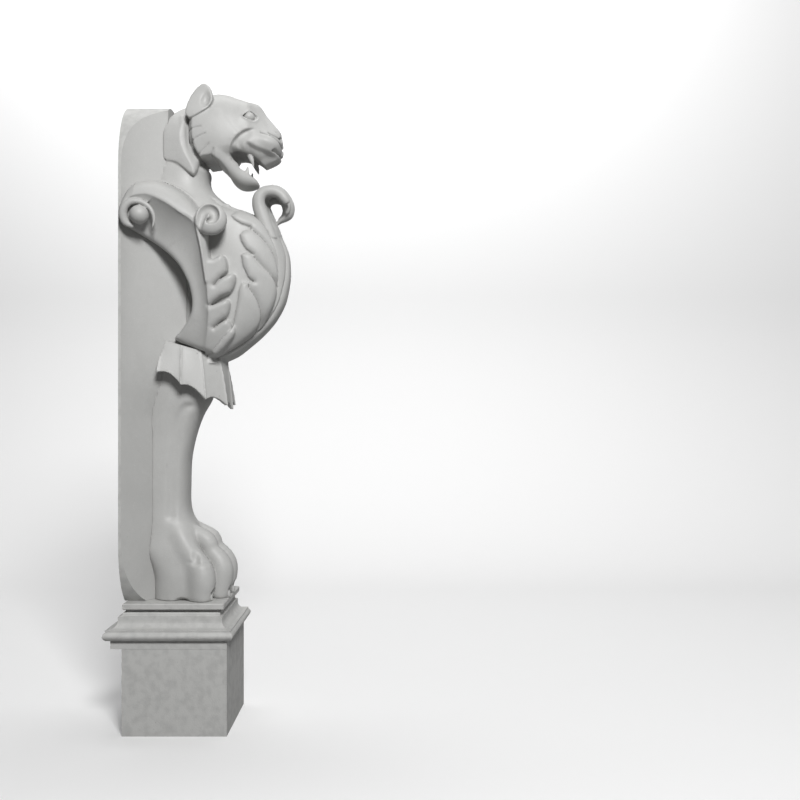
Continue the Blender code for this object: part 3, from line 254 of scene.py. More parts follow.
def plate(loop: Array, inner: Side | float, outer: Side, edge: float) -> Form:
    """Side-view loop carried across X.

    Args:
        loop: Outline in y and z.
        inner: X of its inner face.
        outer: X of its outer face over y and z.
        edge: Rounding of the outer edge.

    Returns:
        Its field.
    """
    def form(x: Array, y: Array, z: Array) -> Array:
        """Field of the plate."""
        face = outer(y, z) + 0.0 * (y + z)
        across = np.gradient(face, y.ravel(), axis=1)
        up = np.gradient(face, z.ravel(), axis=2)
        flat = soft_max(loop_distance(y, z, loop), (x - face) / np.sqrt(1.0 + across ** 2 + up ** 2), edge)
        return np.maximum(flat, (inner(y, z) if callable(inner) else inner) - x)
    return form


def furrow(points: Rows, depth: float, width: float, front: bool = False) -> Form:
    """Carved line of even depth, drawn in the side view or, if front is set, in the front view."""
    line = np.c_[smooth_line(points, 4), np.zeros((len(points) - 1) * 4 + 1)]
    return lambda x, y, z: depth * np.exp(-(line_distance(x if front else y, z, line)[0] / width) ** 2)


def groove(points: Rows, depth: float, width: float) -> Form:
    """Depth of a furrow along a curve of x, y, z points; a negative depth makes a ridge."""
    line = limb(np.c_[smooth_line(points, 4), np.zeros((len(points) - 1) * 4 + 1)])
    return lambda x, y, z: depth * np.exp(-(line(x, y, z) / width) ** 2)


@dataclass
class Clay:
    """Block of clay: a field over the half with X at or above 0, negative inside the form."""

    low: tuple[float, float, float]
    high: tuple[float, float, float]
    cell: float
    axes: list[Array] = field(init=False)
    body: Array = field(init=False)

    def __post_init__(self) -> None:
        """Lay out the grid."""
        self.axes = [np.arange(a, b + self.cell, self.cell) for a, b in zip(self.low, self.high)]
        self.body = np.full([len(a) for a in self.axes], 60.0, np.float32)

    def window(self, box: Box) -> tuple[tuple[slice, ...], list[Array]]:
        """Grid slices and coordinates inside the box."""
        cuts, points = [], []
        for i, (axis, (low, high)) in enumerate(zip(self.axes, box)):
            cut = slice(*np.searchsorted(axis, (low, high)))
            shape = [1, 1, 1]
            shape[i] = -1
            cuts.append(cut)
            points.append(axis[cut].reshape(shape))
        return tuple(cuts), points

    def add(self, form: Form, box: Box, radius: float = 6.0) -> None:
        """Join a form to the clay with a fillet."""
        cut, p = self.window(box)
        self.body[cut] = soft_min(self.body[cut], form(*p), radius)

    def cut(self, form: Form, box: Box, radius: float = 2.0) -> None:
        """Take a form away from the clay."""
        cut, p = self.window(box)
        self.body[cut] = soft_max(self.body[cut], -form(*p), radius)

    def press(self, amount: Form, box: Box) -> None:
        """Sink the surface by an amount, or raise it where the amount is negative."""
        cut, p = self.window(box)
        self.body[cut] += amount(*p)

    def skin(self) -> tuple[Array, Array]:
        """Wrap the clay.

        Returns:
            Vertices and quads of the surface of both halves.
        """
        f = self.settled(np.concatenate([self.body[:0:-1], self.body]))
        xs = np.concatenate([-self.axes[0][:0:-1], self.axes[0]])
        start = np.array([xs[0], self.axes[1][0], self.axes[2][0]])
        inside = f < 0
        corner = [(i, j, k) for i in (0, 1) for j in (0, 1) for k in (0, 1)]
        n = np.array(f.shape) - 1
        count = np.zeros(n, np.uint8)
        for i, j, k in corner:
            count += inside[i:n[0] + i, j:n[1] + j, k:n[2] + k]
        cells = np.argwhere((count > 0) & (count < 8))
        spot = np.zeros((len(cells), 3))
        hits = np.zeros(len(cells))
        for a in corner:
            for axis in range(3):
                if a[axis]:
                    continue
                b = np.array(a)
                b[axis] = 1
                fa = f[tuple((cells + a).T)]
                fb = f[tuple((cells + b).T)]
                hit = (fa < 0) != (fb < 0)
                point = np.tile(np.array(a, float), (hit.sum(), 1))
                point[:, axis] = fa[hit] / (fa[hit] - fb[hit])
                spot[hit] += point
                hits[hit] += 1
        verts = start + (cells + spot / hits[:, None]) * self.cell
        number = np.full(n, -1, np.int32)
        number[tuple(cells.T)] = np.arange(len(cells))
        quads = []
        for axis in range(3):
            here = [slice(1, -1)] * 3
            here[axis] = slice(0, -1)
            there = list(here)
            there[axis] = slice(1, None)
            one, two = inside[tuple(here)], inside[tuple(there)]
            where = np.argwhere(one != two)
            solid = one[tuple(where.T)]
            base = where + [0 if i == axis else 1 for i in range(3)]
            u, v = (axis + 1) % 3, (axis + 2) % 3
            ring = []
            for du, dv in ((-1, -1), (0, -1), (0, 0), (-1, 0)):
                c = base.copy()
                c[:, u] += du
                c[:, v] += dv
                ring.append(number[tuple(c.T)])
            stacked = np.array(ring).T
            quads.append(np.where(solid[:, None], stacked, stacked[:, ::-1]))
        return self.largest_shell(verts, np.concatenate(quads))

    @staticmethod
    def settled(f: Array) -> Array:
        """Give the field a clear border and no two parts that touch only at an edge.

        Args:
            f: Field of the whole figure.

        Returns:
            The same field, mended.
        """
        for axis in range(3):
            for end in (0, -1):
                np.moveaxis(f, axis, 0)[end] = np.maximum(np.moveaxis(f, axis, 0)[end], 1.0)
        head, tail, whole = slice(None, -1), slice(1, None), slice(None)
        for _ in range(8):
            inside = f < 0
            changed = False
            for axis in range(3):
                s, g = np.moveaxis(inside, axis, 0), np.moveaxis(f, axis, 0)
                a, b, c, d = s[:, :-1, :-1], s[:, 1:, :-1], s[:, :-1, 1:], s[:, 1:, 1:]
                for one, first, second in ((a & d & ~b & ~c, (tail, head), (head, tail)),
                                           (b & c & ~a & ~d, (head, head), (tail, tail))):
                    if one.any():
                        changed = True
                        p, q = g[(whole,) + first], g[(whole,) + second]
                        lower = p <= q
                        p[one & lower] = -0.05
                        q[one & ~lower] = -0.05
            if not changed:
                break
        return f

    @staticmethod
    def largest_shell(verts: Array, quads: Array) -> tuple[Array, Array]:
        """Only the largest connected shell of a mesh."""
        label = np.arange(len(verts))
        while True:
            before = label.copy()
            low = label[quads].min(axis=1)
            for k in range(4):
                np.minimum.at(label, quads[:, k], low)
            label = label[label]
            if (label == before).all():
                break
        best = np.bincount(label[quads[:, 0]]).argmax()
        quads = quads[label[quads[:, 0]] == best]
        used, flat = np.unique(quads, return_inverse=True)
        return verts[used], flat.reshape(quads.shape)


@dataclass
class Leg:
    """Straight lower leg with a soft shin line. Rows are z, front, back and half width."""

    rows: Rows = (
        (216, -30, 47, 48), (273, -30, 48, 50), (306, -34, 64, 50), (340, -30, 70, 49),
        (365, -14, 72, 47), (389, -8, 74, 46), (427, -8, 76, 45.5), (472, -10, 76, 46),
        (513, -18.6, 74, 47), (548, -31, 72, 50), (585, -50, 68, 53), (650, -62, 58, 56))
    shin: Rows = (
        (30, -24, 570), (44, -11, 564), (47, -1, 548), (47, 7, 519), (45, 9, 492), (44, 15, 448),
        (44, 15, 405), (46, 17, 372))

    def model(self, clay: Clay) -> None:
        """Add the leg to the clay."""
        clay.add(tower(self.rows, 2.8), ((0, 80), (-90, 85), (216, 650)), 4)
        clay.press(groove(self.shin, 4.0, 8), ((0, 70), (-60, 50), (360, 600)))


@dataclass
class Paw:
    """Broad paw: heel, two toes a side with claws, and the dent between toes and heel."""

    heel: Rows = (
        (216, -50, 52, 58), (240, -58, 51, 62), (262, -60, 51, 63), (280, -56, 56, 62),
        (312, -36, 70, 57), (335, -18, 68, 50), (360, 0, 62, 41), (385, 14, 50, 32))
    inner_toe: Rows = (
        (13, 4, 356, 10), (17, -20, 340, 14), (19, -42, 325, 16.5), (20, -50, 308, 15.5),
        (21, -64, 290, 18.5), (22, -70, 273, 20), (22, -69, 254, 19.5), (22, -66, 236, 18))
    outer_toe: Rows = (
        (38, 2, 338, 12), (45, -14, 314, 15), (50, -29, 296, 17), (53, -39, 277, 21), (54, -42, 257, 22),
        (54, -40, 236, 20))
    dent: Rows = ((66, -19, 294), (68, -36, 291), (62, -53, 292))

    def model(self, clay: Clay) -> None:
        """Add the paw to the clay."""
        clay.add(tower(self.heel, 3.0), ((0, 90), (-90, 80), (216, 385)), 8)
        for toe, fillet in ((self.outer_toe, 14), (self.inner_toe, 3)):
            clay.add(limb(smooth_line(toe, 3)), ((0, 90), (-110, 25), (216, 380)), fillet)
            x, y = toe[-1][0], toe[-1][1]
            clay.cut(egg((x, y - 18, 238), (9, 8, 11)), ((x - 14, x + 14), (y - 34, y), (222, 256)), 1)
            claw = limb([(x, y - 6, 240, 6), (x, y - 13, 233, 6), (x, y - 15, 222, 5)])
            clay.add(claw, ((x - 12, x + 12), (y - 30, y + 6), (216, 252)), 0.5)
        clay.cut(egg((71, -32, 307), (11, 8, 15)), ((48, 90), (-60, 5), (280, 335)), 5)
        clay.press(groove(self.dent, 1.6, 3.0), ((48, 90), (-70, -5), (280, 305)))
        clay.cut(egg((64, -6, 221), (16, 14, 10)), ((36, 95), (-30, 20), (208, 240)), 3)


@dataclass
class Skirt:
    """Fluted collar above the leg: flat flutes between ridges that end in points."""

    bearing: Sequence[float] = (-90, -65.6, -38.2, -9.9, 17.6, 46)
    top_reach: Sequence[float] = (77, 75, 67, 64, 63, 64)
    low_reach: Sequence[float] = (90, 96.5, 89.5, 85, 88, 90)
    top_z: Sequence[float] = (646, 646, 655, 664, 673, 680)
    low_z: Sequence[float] = (559, 565.5, 576, 601.5, 623.5, 640)
    dip: float = 4.5
    bead: float = 1.8

    def mantle(self, x: Array, y: Array, z: Array, slim: float = 0.0) -> Array:
        """Field of the fluted body, slimmed all round by slim."""
        bearing = np.array(self.bearing)
        angle = np.degrees(np.arctan2(y - 5.0, x))
        flute = np.clip(np.searchsorted(bearing, angle) - 1, 0, len(bearing) - 2)
        part = (angle - bearing[flute]) / (bearing[flute + 1] - bearing[flute])
        dip = 1 - (2 * np.clip(part, 0, 1) - 1) ** 2
        low = np.interp(angle, bearing, self.low_z) + 9 * dip
        high = np.interp(angle, bearing, self.top_z) + 8
        t = np.clip((high - z) / (high - low), 0, 1)
        reach = np.interp(angle, bearing, self.top_reach)
        lower = np.interp(angle, bearing, self.low_reach)
        reach = reach + (lower - reach) * t ** 0.65 - self.dip * dip * t ** 0.6
        near = np.radians(np.minimum(part, 1 - part) * (bearing[flute + 1] - bearing[flute])) * reach
        reach = reach + self.bead * np.exp(-(near / 1.4) ** 2)
        ends = np.maximum(np.maximum((low - z) * 0.9, z - high), y - 35.6 + 0.24 * (z - 624.0))
        return np.maximum((np.hypot(x, y - 5.0) - reach + slim) * 0.95, ends)

    def model(self, clay: Clay) -> None:
        """Add the skirt to the clay."""
        box = ((0, 110), (-110, 95), (545, 705))
        apart = Clay(clay.low, clay.high, clay.cell)
        apart.add(self.mantle, box, 1)
        apart.cut(lambda x, y, z: np.maximum(self.mantle(x, y, z + 10, 7), z - 612 - 0.4 * (y + 60)), box, 1)
        cut, _ = apart.window(box)
        clay.body[cut] = soft_min(clay.body[cut], apart.body[cut], 2.5)


@dataclass
class Chest:
    """Swelling chest with a slanting underside, and the neck above it."""

    barrel: Rows = (
        (636, -60, 20, 30), (646, -79, 20, 44), (655, -97, 20, 54), (670.5, -117, 20, 62),
        (689.5, -139, 20, 69), (710, -158, 20, 73), (731, -172, 20, 75), (753, -182, 20, 76.5),
        (781, -188, 20, 77), (803.5, -190, 20, 77), (838, -187, 20, 77), (871, -173, 20, 75),
        (889, -160, 20, 73), (904, -135, 20, 68), (916, -105, 20, 60))
    slab_half: float = 95.0
    slab_face: float = 89.6
    neck: Rows = (
        (890, -112, 70, 74), (905, -104, 70, 71), (914, -92.5, 70, 68), (926, -78, 70, 64.5),
        (937, -64, 70, 61.5), (950, -51, 70, 59), (961, -45, 70, 57.5), (972, -43.5, 70, 56.5),
        (982, -45, 70, 55.5), (992, -45, 68, 54), (999, -45, 66, 53))
    fullness: float = 2.05

    def model(self, clay: Clay) -> None:
        """Add chest and neck to the clay."""
        round_body = tower(self.barrel, self.fullness)

        def spine(x: Array, y: Array, z: Array) -> Array:
            """Way to the slab's front face carried on to the chest, and sunk into the slab behind."""
            inset = self.slab_half - x
            face = self.slab_face - 0.75 * inset - 0.0185 * inset * inset
            return (face - y) * 0.5 + 2.0 * blend(y, -20.0, -5.0)

        def body(x: Array, y: Array, z: Array) -> Array:
            """Barrel cut off on a slant, and kept inside the spine behind the shoulder's shell."""
            kept = np.minimum(y + 46.0, spine(x, y, z))
            return np.maximum(soft_max(round_body(x, y, z), 640.5 + 0.41 * (y + 80) - z, 8), kept)
        clay.add(body, ((0, 90), (-206, 30), (630, 925)), 5)
        clay.add(lambda x, y, z: np.maximum(spine(x, y, z), np.maximum(-60.0 - y, np.abs(z - 780.0) - 125.0)),
                 ((0, 95), (-62, 70), (654, 906)), 2)
        column = tower(self.neck, 2.7)
        clay.add(lambda x, y, z: soft_max(column(x, y, z), z - 994.5 - 40 * blend(y, -24.0, -8.0), 16),
                 ((0, 90), (-130, 85), (890, 1000)), 5)


@dataclass
class Shoulder:
    """Shoulder cape with its rim, the boss, the cove behind, side lobes, and the front roll."""

    cape_top: Rows = (
        (-60, 893), (-45, 905), (-39, 912), (-28.7, 924), (-15.7, 936), (0, 946), (14.4, 952.5),
        (27.4, 957), (49.6, 957.5), (65, 956), (75.7, 950), (84, 938), (92, 915))
    cape_rim: Rows = (
        (-60, 860), (-45, 868), (-32, 881), (-14, 892.4), (5, 906.6), (24.5, 917), (40, 922.7), (50, 922),
        (63, 919.5), (75, 908), (92, 890))
    ridge: Rows = (
        (92, 886, 112), (84, 903, 115), (76, 914, 116.5), (63, 920.5, 117.5), (50, 923, 118),
        (40, 922.7, 118), (24.5, 917, 118), (5, 906.6, 118), (-14, 892.4, 117), (-32, 880, 115.5),
        (-42, 866, 114), (-46, 855, 113), (-49, 839, 111), (-52, 820, 109), (-54.4, 800, 106),
        (-57, 778.6, 103.5), (-58.5, 750, 99), (-58, 720, 92), (-54, 690, 83), (-48, 660, 70))
    back_edge: Rows = (
        (90.8, 894, 108), (87.5, 881, 102), (79, 871.5, 97), (68.6, 865, 93), (56.7, 858, 86),
        (39.8, 848, 83), (21.8, 835, 86), (5.2, 820.5, 89.5), (-8.3, 804.5, 91.5), (-20, 782, 92),
        (-24.4, 770, 91.5), (-28, 747.6, 89), (-25.6, 728, 85.5), (-16.8, 711, 79.5), (-3.7, 695, 72.5),
        (8, 682, 64))
    outline: Rows = (
        (90.5, 904), (88, 920), (84, 936), (76, 950), (65, 957), (49.6, 959), (27.4, 958), (14.4, 954),
        (0, 948), (-15.7, 938), (-28.7, 926), (-39, 912), (-50, 890), (-57, 862), (-57.5, 844),
        (-58.7, 829), (-62.7, 817), (-72, 819.5), (-80.7, 824.5), (-88, 818), (-90.5, 797), (-80, 786),
        (-69, 773), (-82, 786), (-98.6, 793.5), (-104.4, 786), (-102, 773), (-95.4, 760), (-78, 752),
        (-61, 738), (-78, 745), (-88, 749), (-94.5, 743), (-92, 727), (-87, 718), (-77, 711), (-66, 701),
        (-79, 711), (-89, 715), (-95.3, 706), (-95.3, 693), (-87, 680), (-64, 658), (-48, 660),
        (-18.6, 670), (8, 682), (-3.7, 695), (-16.8, 711), (-25.6, 728), (-28, 747.6), (-24.4, 770),
        (-20, 782), (-8.3, 804.5), (5.2, 820.5), (21.8, 835), (39.8, 848), (56.7, 858), (68.6, 865),
        (80, 872), (87.5, 881), (90.8, 894))
    stem: Rows = (
        (122, -43, 890), (120, -42.7, 876), (114, -45, 858), (112, -49, 839), (109, -52, 820),
        (106, -54.4, 800), (103, -57, 779))
    roll: Rows = ((114, -67, 881, 27.5), (92, -68, 884, 22.5), (66, -70, 893, 12), (44, -72, 902, 4))
    channel: Rows = (
        (125, -47, 858, 3), (126, -50, 870, 5.5), (127, -53, 882, 7.5), (127, -57, 892, 8.5),
        (127, -65, 897, 8.5), (127, -73, 893, 8), (127, -75.5, 885, 7.5), (126, -72, 878, 6),
        (125, -66, 876, 4))
    ring: Rows = (
        (112, 32, 866, 1), (112, 29, 880, 3), (113, 32, 894, 4), (114, 41, 905, 4.5), (115, 54, 911, 5),
        (115, 68, 910, 6), (114, 78, 902, 7), (111, 82, 890, 8), (108, 78, 877, 7), (106, 68, 871, 4))
    boss: Sequence[float] = (111, 54.5, 889.5)

    def reach(self, y: Array, z: Array) -> Array:
        """Half width of the side over the side view: a round cape above the rim, a cove behind the ridge."""
        top = np.interp(y, *np.array(sorted(self.cape_top)).T)
        rim = np.interp(y, *np.array(sorted(self.cape_rim)).T)
        t = np.clip((z - rim) / (top - rim), 0.0, 0.97)
        cape = 52 + 66 * np.sqrt(1.0 - t ** 2)
        ridge = smooth_line(self.ridge, 3)
        back = smooth_line(self.back_edge, 3)
        to_ridge, at_ridge = line_distance(y, z, ridge)
        to_back, at_back = line_distance(y, z, back)
        share = to_ridge / (to_ridge + to_back + 1e-6)
        cove = at_ridge + (at_back - at_ridge) * share - 22.0 * share ** 0.8 * (1.0 - share)
        behind = loop_distance(y, z, np.r_[ridge[:, :2], [(-48, 640), (130, 640), (130, 880)]]) < 0
        front = at_ridge - 0.16 * to_ridge - 0.0012 * to_ridge ** 2
        over = (y > -44) & (z > rim)
        return np.where(behind, cove, np.where(over, np.minimum(cape, at_ridge + 1.0), front))

    def model(self, clay: Clay) -> None:
        """Add the shoulder to the clay."""
        side = plate(smooth_line(self.outline, 2, True), 26, self.reach, 11)
        clay.add(side, ((22, 134), (-125, 100), (630, 962)), 3)
        clay.press(groove(self.stem, -3.4, 3.2), ((90, 134), (-75, -28), (770, 905)))
        box = ((30, 134), (-110, -28), (840, 915))
        roll = limb(smooth_line(self.roll, 3))
        channel = limb(smooth_line(self.channel, 3), 1.3)
        clay.add(lambda x, y, z: soft_max(roll(x, y, z), x - 127.5, 14), box, 3)
        clay.cut(channel, ((108, 134), (-86, -38), (852, 910)), 2.5)
        clay.cut(egg((122, 54.5, 889), (18, 21.5, 21.5)), ((95, 134), (28, 84), (862, 916)), 2)
        clay.add(limb(smooth_line(self.ring, 3)), ((90, 134), (15, 98), (855, 925)), 3)
        clay.add(egg(self.boss, (17, 16.5, 16.5)), ((88, 134), (32, 78), (866, 912)), 0.8)


@dataclass
class FrontLeaf:
    """Acanthus leaf that wraps the chest and rolls over under the chin.

    Its lobes swell like cushions between the outline, which is drawn in the side view, and the creases,
    which are rows of x, y, z.
    """

    proud: float = 6.5
    swell: float = 12.0
    outline: Rows = (
        (-215, 930), (-108, 930), (-101, 905), (-93, 896), (-100, 888), (-112, 881), (-127, 877),
        (-128, 872), (-116, 869), (-109, 862), (-112, 850), (-120, 837), (-133, 828), (-121, 831),
        (-112, 827), (-115, 808), (-124, 788), (-133, 781), (-113, 778), (-108, 766), (-106, 746),
        (-96, 700), (-60, 660), (-60, 630), (-215, 630))
    creases: Sequence[Rows] = (
        ((9, -155, 892), (12, -166, 879), (14, -175, 862), (17, -185, 830), (20, -186, 802),
         (24, -182, 777), (28, -166, 733), (30, -146, 705), (34, -115, 678), (41, -71, 653)),
        ((26, -99, 931), (39, -126, 901), (44, -151, 878), (44, -163, 851), (42, -172, 824),
         (40, -175, 801), (37, -174, 777), (33, -163, 732), (30, -148, 708)),
        ((65, -127, 874), (61, -136, 865), (56, -149, 851), (49, -165, 825), (44, -172, 802),
         (39, -172, 772)),
        ((39, -172, 771), (50, -163, 787), (64, -143, 811), (70, -133, 824)),
        ((72, -128, 780), (71, -124, 771), (64, -136, 750), (50, -146, 715), (34, -139, 693)))
    curl: Rows = (
        (0, -176, 848, 1), (0, -165, 870, 9), (0, -152, 890, 13), (0, -142, 912, 13), (0, -137, 930, 13),
        (0, -140, 944, 12), (0, -152, 952, 11), (0, -164.5, 951, 10.5), (0, -174.5, 943.5, 10.5),
        (0, -182.5, 931, 10.5), (0, -185.3, 922, 10.3), (0, -184.5, 912, 9.5), (0, -180, 905.5, 7.5),
        (0, -172, 899.5, 5), (0, -164.5, 891.5, 1.5))
    wing: Rows = (
        (35, -172, 838, 1), (35, -163, 858, 7), (34, -149, 886, 11.5), (34, -142, 903, 12.5),
        (35, -137, 919, 12), (36, -137, 932, 11.5), (36, -144, 942, 10.5), (36, -155, 945.8, 10),
        (36, -166, 944.6, 9.5), (36.5, -176, 939, 8.5), (37, -182, 932, 8), (37, -185, 928, 7))

    def model(self, clay: Clay) -> None:
        """Add the leaf to the clay."""
        clay.press(self.lobes, ((0, 92), (-208, -50), (640, 932)))
        box = ((0, 60), (-208, -95), (862, 972))
        shape = limb(smooth_line(self.curl, 3), 2.3)
        wing = limb(smooth_line(self.wing, 3))
        clay.add(lambda x, y, z: soft_min(shape(x, y, z), wing(x, y, z), 1.0), box, 2)
        clay.press(lambda x, y, z: 2.2 * np.exp(-((x - 12.0) / 5.0) ** 2) * blend(z, 884.0, 905.0),
                   ((0, 30), (-208, -140), (884, 972)))
        clay.press(lambda x, y, z: -1.6 * np.exp(-(x / 1.8) ** 2) * blend(z, 884.0, 905.0),
                   ((0, 8), (-208, -150), (884, 972)))

    @staticmethod
    def around(x: Array, y: Array, z: Array) -> Array:
        """Way around the chest from its front line, in millimetres."""
        front, back, half = through(Chest.barrel, z)
        return 80.0 * np.arctan2(x / half, ((front + back) / 2 - y) / ((back - front) / 2))

    def lobes(self, x: Array, y: Array, z: Array) -> Array:
        """Lift of the lobes: creases sink into the front, and the lobes stand out of the side."""
        side = blend(x, 34.0, 58.0)
        edge = 90.0 * (1.0 - side) - loop_distance(y, z, np.array(self.outline, float))
        way = self.around(x, y, z)
        for crease in self.creases:
            cx, cy, cz = smooth_line(crease, 3).T
            line = np.c_[self.around(cx, cy, cz), cz, 0.0 * cz]
            edge = np.minimum(edge, line_distance(way, z, line)[0])
        share = np.clip(edge / self.swell, 0.0, 1.0)
        return self.proud * (1.0 - side - np.sqrt(1.0 - (1.0 - share) ** 2)) * blend(-y, 40.0, 70.0)


@dataclass
class Head:
    """Head with open jaws, its ruff and the collar behind.

    Rows of the lofts are y, top, low and widest heights, half width, and fullness above and below.
    """

    skull: Rows = (
        (-175, 1040, 1022, 1031, 12, 2, 2), (-172, 1052, 1010, 1030, 27, 1.7, 2.2),
        (-167, 1060, 1003, 1029, 36, 1.5, 2.2), (-160, 1067, 999, 1029, 43, 1.4, 2.2),
        (-150, 1078, 994.5, 1031, 47.5, 1.35, 2.2), (-141, 1092, 990.5, 1032, 50, 1.35, 2.3),
        (-134, 1101, 991.5, 1034, 52, 1.45, 2.4), (-127, 1106, 997, 1036, 54.5, 1.75, 2.6),
        (-118, 1108.5, 1003, 1038, 57.5, 2.6, 2.8), (-108, 1111.5, 1006, 1040, 60, 2.7, 2.8),
        (-96, 1116, 1004, 1041, 62, 2.4, 2.8), (-80, 1122, 998, 1043, 64.5, 2.25, 2.8),
        (-62, 1124, 1002, 1044, 66, 2.25, 2.8), (-45, 1121, 1004, 1044, 66.5, 2.25, 2.8),
        (-30, 1113, 1010, 1044, 64, 2.5, 2.8), (-18, 1104, 1016, 1044, 58, 2.5, 2.8))
    bridge: Rows = (
        (-172.5, 1055, 1036, 1045, 14, 3, 2), (-170.5, 1058.5, 1034, 1046, 16, 3, 2),
        (-166, 1064.5, 1034, 1049, 17.5, 3, 2), (-157, 1075, 1036, 1055, 17, 3, 2),
        (-147, 1087, 1040, 1064, 16, 3, 2), (-138.5, 1100, 1050, 1076, 18, 2.8, 2),
        (-131, 1107, 1058, 1084, 23, 2.6, 2), (-120, 1108.8, 1064, 1088, 32, 2.4, 2))
    jaw: Rows = (
        (-133, 967, 962, 965, 9, 2.2, 2), (-130, 970.5, 958, 966, 20, 2.6, 2),
        (-124, 975, 955, 969, 27, 3, 2.1), (-115, 981.5, 953, 973, 32.5, 3.2, 2.2),
        (-104, 990.5, 953.5, 979, 38, 3.4, 2.2), (-95, 999, 957.5, 987, 44, 3.4, 2.2),
        (-86, 1007, 966, 994, 50, 3, 2.2), (-77, 1013, 979.5, 1002, 55, 2.6, 2.2),
        (-66, 1018, 990, 1008, 57, 2.4, 2.2))
    gape: Rows = (
        (-88, 1008), (-93, 1013.5), (-101, 1014), (-112, 1011), (-124, 1003), (-135, 994), (-143, 986.5),
        (-150, 978), (-152, 950), (-136, 961), (-130, 971), (-121, 978.5), (-111, 986), (-100, 995.5),
        (-92, 1003))
    ruff: Rows = (
        (-24, 1072), (-22.5, 1060), (-22.5, 1047), (-24, 1031.5), (-28, 1016), (-37, 1000), (-48, 1002),
        (-58, 1002.5), (-70, 995.7), (-80, 986), (-90, 972), (-110, 990), (-104, 1040), (-70, 1082),
        (-40, 1084))
    collar: Rows = (
        (-20, 1102), (3, 1092.5), (15, 1080), (24.6, 1065), (28.5, 1047), (29.3, 1025), (27, 997),
        (7, 991), (-8.6, 980), (-19.6, 971.5), (-28, 970.5), (-33, 990), (-40, 1040), (-50, 1100))
    collar_ridge: Rows = (
        (-16, 1100), (-10, 1078), (-2.3, 1052), (-1.5, 1030), (-7.7, 1010), (-18.6, 990), (-27, 970.5))
    inner_ring: Rows = (
        (46, -4, 1072), (53, -6.5, 1056), (55, -8.5, 1036), (54.5, -11.5, 1016), (52, -18, 998),
        (48, -27, 982))
    cheek_fold: Rows = (
        (-132, 1054), (-126.8, 1053.2), (-112.7, 1047.5), (-100, 1036), (-91, 1022), (-88, 1008))
    ear_edge: Rows = (
        (-44.5, 1128.8), (-34, 1123), (-24.5, 1112), (-17, 1096), (-13, 1076), (-19, 1066.5), (-27, 1068),
        (-41, 1076), (-52.5, 1085), (-59.5, 1097), (-59, 1110), (-55, 1122))
    upper_fang: Rows = ((30.5, -120, 1010, 6), (31, -124, 1000, 4.4), (31, -127.5, 988.5, 0.9))
    lower_fang: Rows = ((26, -113, 973, 5.5), (26, -114.5, 981, 4), (26, -116.5, 993, 0.9))
    philtrum: Rows = ((0, 1033), (0, 1018), (0, 1000))
    nose_top: Rows = ((0, 1046), (10, 1045.5), (17, 1042))
    nose_side: Rows = ((17.5, 1056), (16, 1046), (10, 1036), (2, 1028))
    pad_slits: Sequence[Rows] = (
        ((19, 1040.5), (26, 1043), (33, 1046.5)),
        ((3, 1028.5), (12, 1029), (22, 1031.5), (31, 1036), (38, 1042), (43, 1047)),
        ((4, 1013.5), (14, 1013.5), (25, 1015), (36, 1017.5)))
    ruff_cuts: Sequence[Rows] = (
        ((-20, 1046), (-30, 1049), (-40, 1051)),
        ((-21, 1025), (-35, 1033), (-48, 1039)),
        ((-36, 1004), (-45, 1012), (-54, 1022)),
        ((-56, 1003), (-59, 1008), (-62, 1014)))
    box: Box = ((0, 90), (-190, 45), (935, 1138))

    def model(self, clay: Clay) -> None:
        """Add the head to the clay."""
        box = self.box
        part = Clay(clay.low, clay.high, clay.cell)
        part.add(loft(self.skull), box, 1)
        part.add(loft(self.bridge), box, 4)
        part.add(egg((24, -147, 1033), (26.5, 27.5, 16.5), 20), box, 4)
        part.add(plate(np.array(self.ruff, float), 0, lambda y, z: 67.5 - 0.004 * (z - 1040) ** 2
                       - blend(-y, 62.0, 112.0) * (6 + 22 * blend(-z, -1022.0, -1000.0)), 4), box, 5)
        part.press(self.below_fold, ((24, 90), (-150, -70), (990, 1062)))
        self.eyes(part)
        self.muzzle(part)
        part.add(loft(self.jaw), box, 5)
        self.mouth(part)
        self.back(part)
        self.ears(part)
        cut, _ = part.window(box)
        clay.body[cut] = soft_min(clay.body[cut], part.body[cut], 2.0)

    def below_fold(self, x: Array, y: Array, z: Array) -> Array:
        """Step down of the lip below the cheek's fold."""
        fold = smooth_line(self.cheek_fold, 4)
        gap = line_distance(y, z, np.c_[fold, np.zeros(len(fold))])[0]
        side = loop_distance(y, z, np.r_[fold, [(-92, 980), (-190, 980), (-190, 1054)]])
        deep = blend(gap, 0.0, 2.5) * (1.0 - blend(gap, 5.0, 24.0)) * blend(y, -136.0, -118.0)
        return 6.0 * np.where(side < 0, deep, 0.0)

    def eyes(self, clay: Clay) -> None:
        """Sink an almond socket and set the eyeball in it."""
        box = ((18, 75), (-155, -95), (1052, 1098))
        centre = np.array([45.0, -126.0, 1075.0])

        def socket(x: Array, y: Array, z: Array) -> Array:
            """Depth of the socket, steep at the upper lid."""
            along = (x - centre[0]) * 0.8 + (y - centre[1]) * 0.6
            rise = np.abs(z - centre[2] + 0.15 * along)
            inside = 8.2 * (1.0 - (along / 17.5) ** 2) - rise - np.maximum(np.abs(along) - 17.5, 0.0)
            near = np.exp(-((along ** 2 + 4.0 * rise ** 2) / 26.0 ** 2) ** 3)
            return near * (7.2 * blend(inside, -0.4, 1.2) - 1.8 * np.exp(-((inside + 2.4) / 1.7) ** 2))
        clay.press(socket, box)
        clay.add(egg((39.6, -119.0, 1074.3), (11.6, 11.6, 9.6)), box, 0.4)

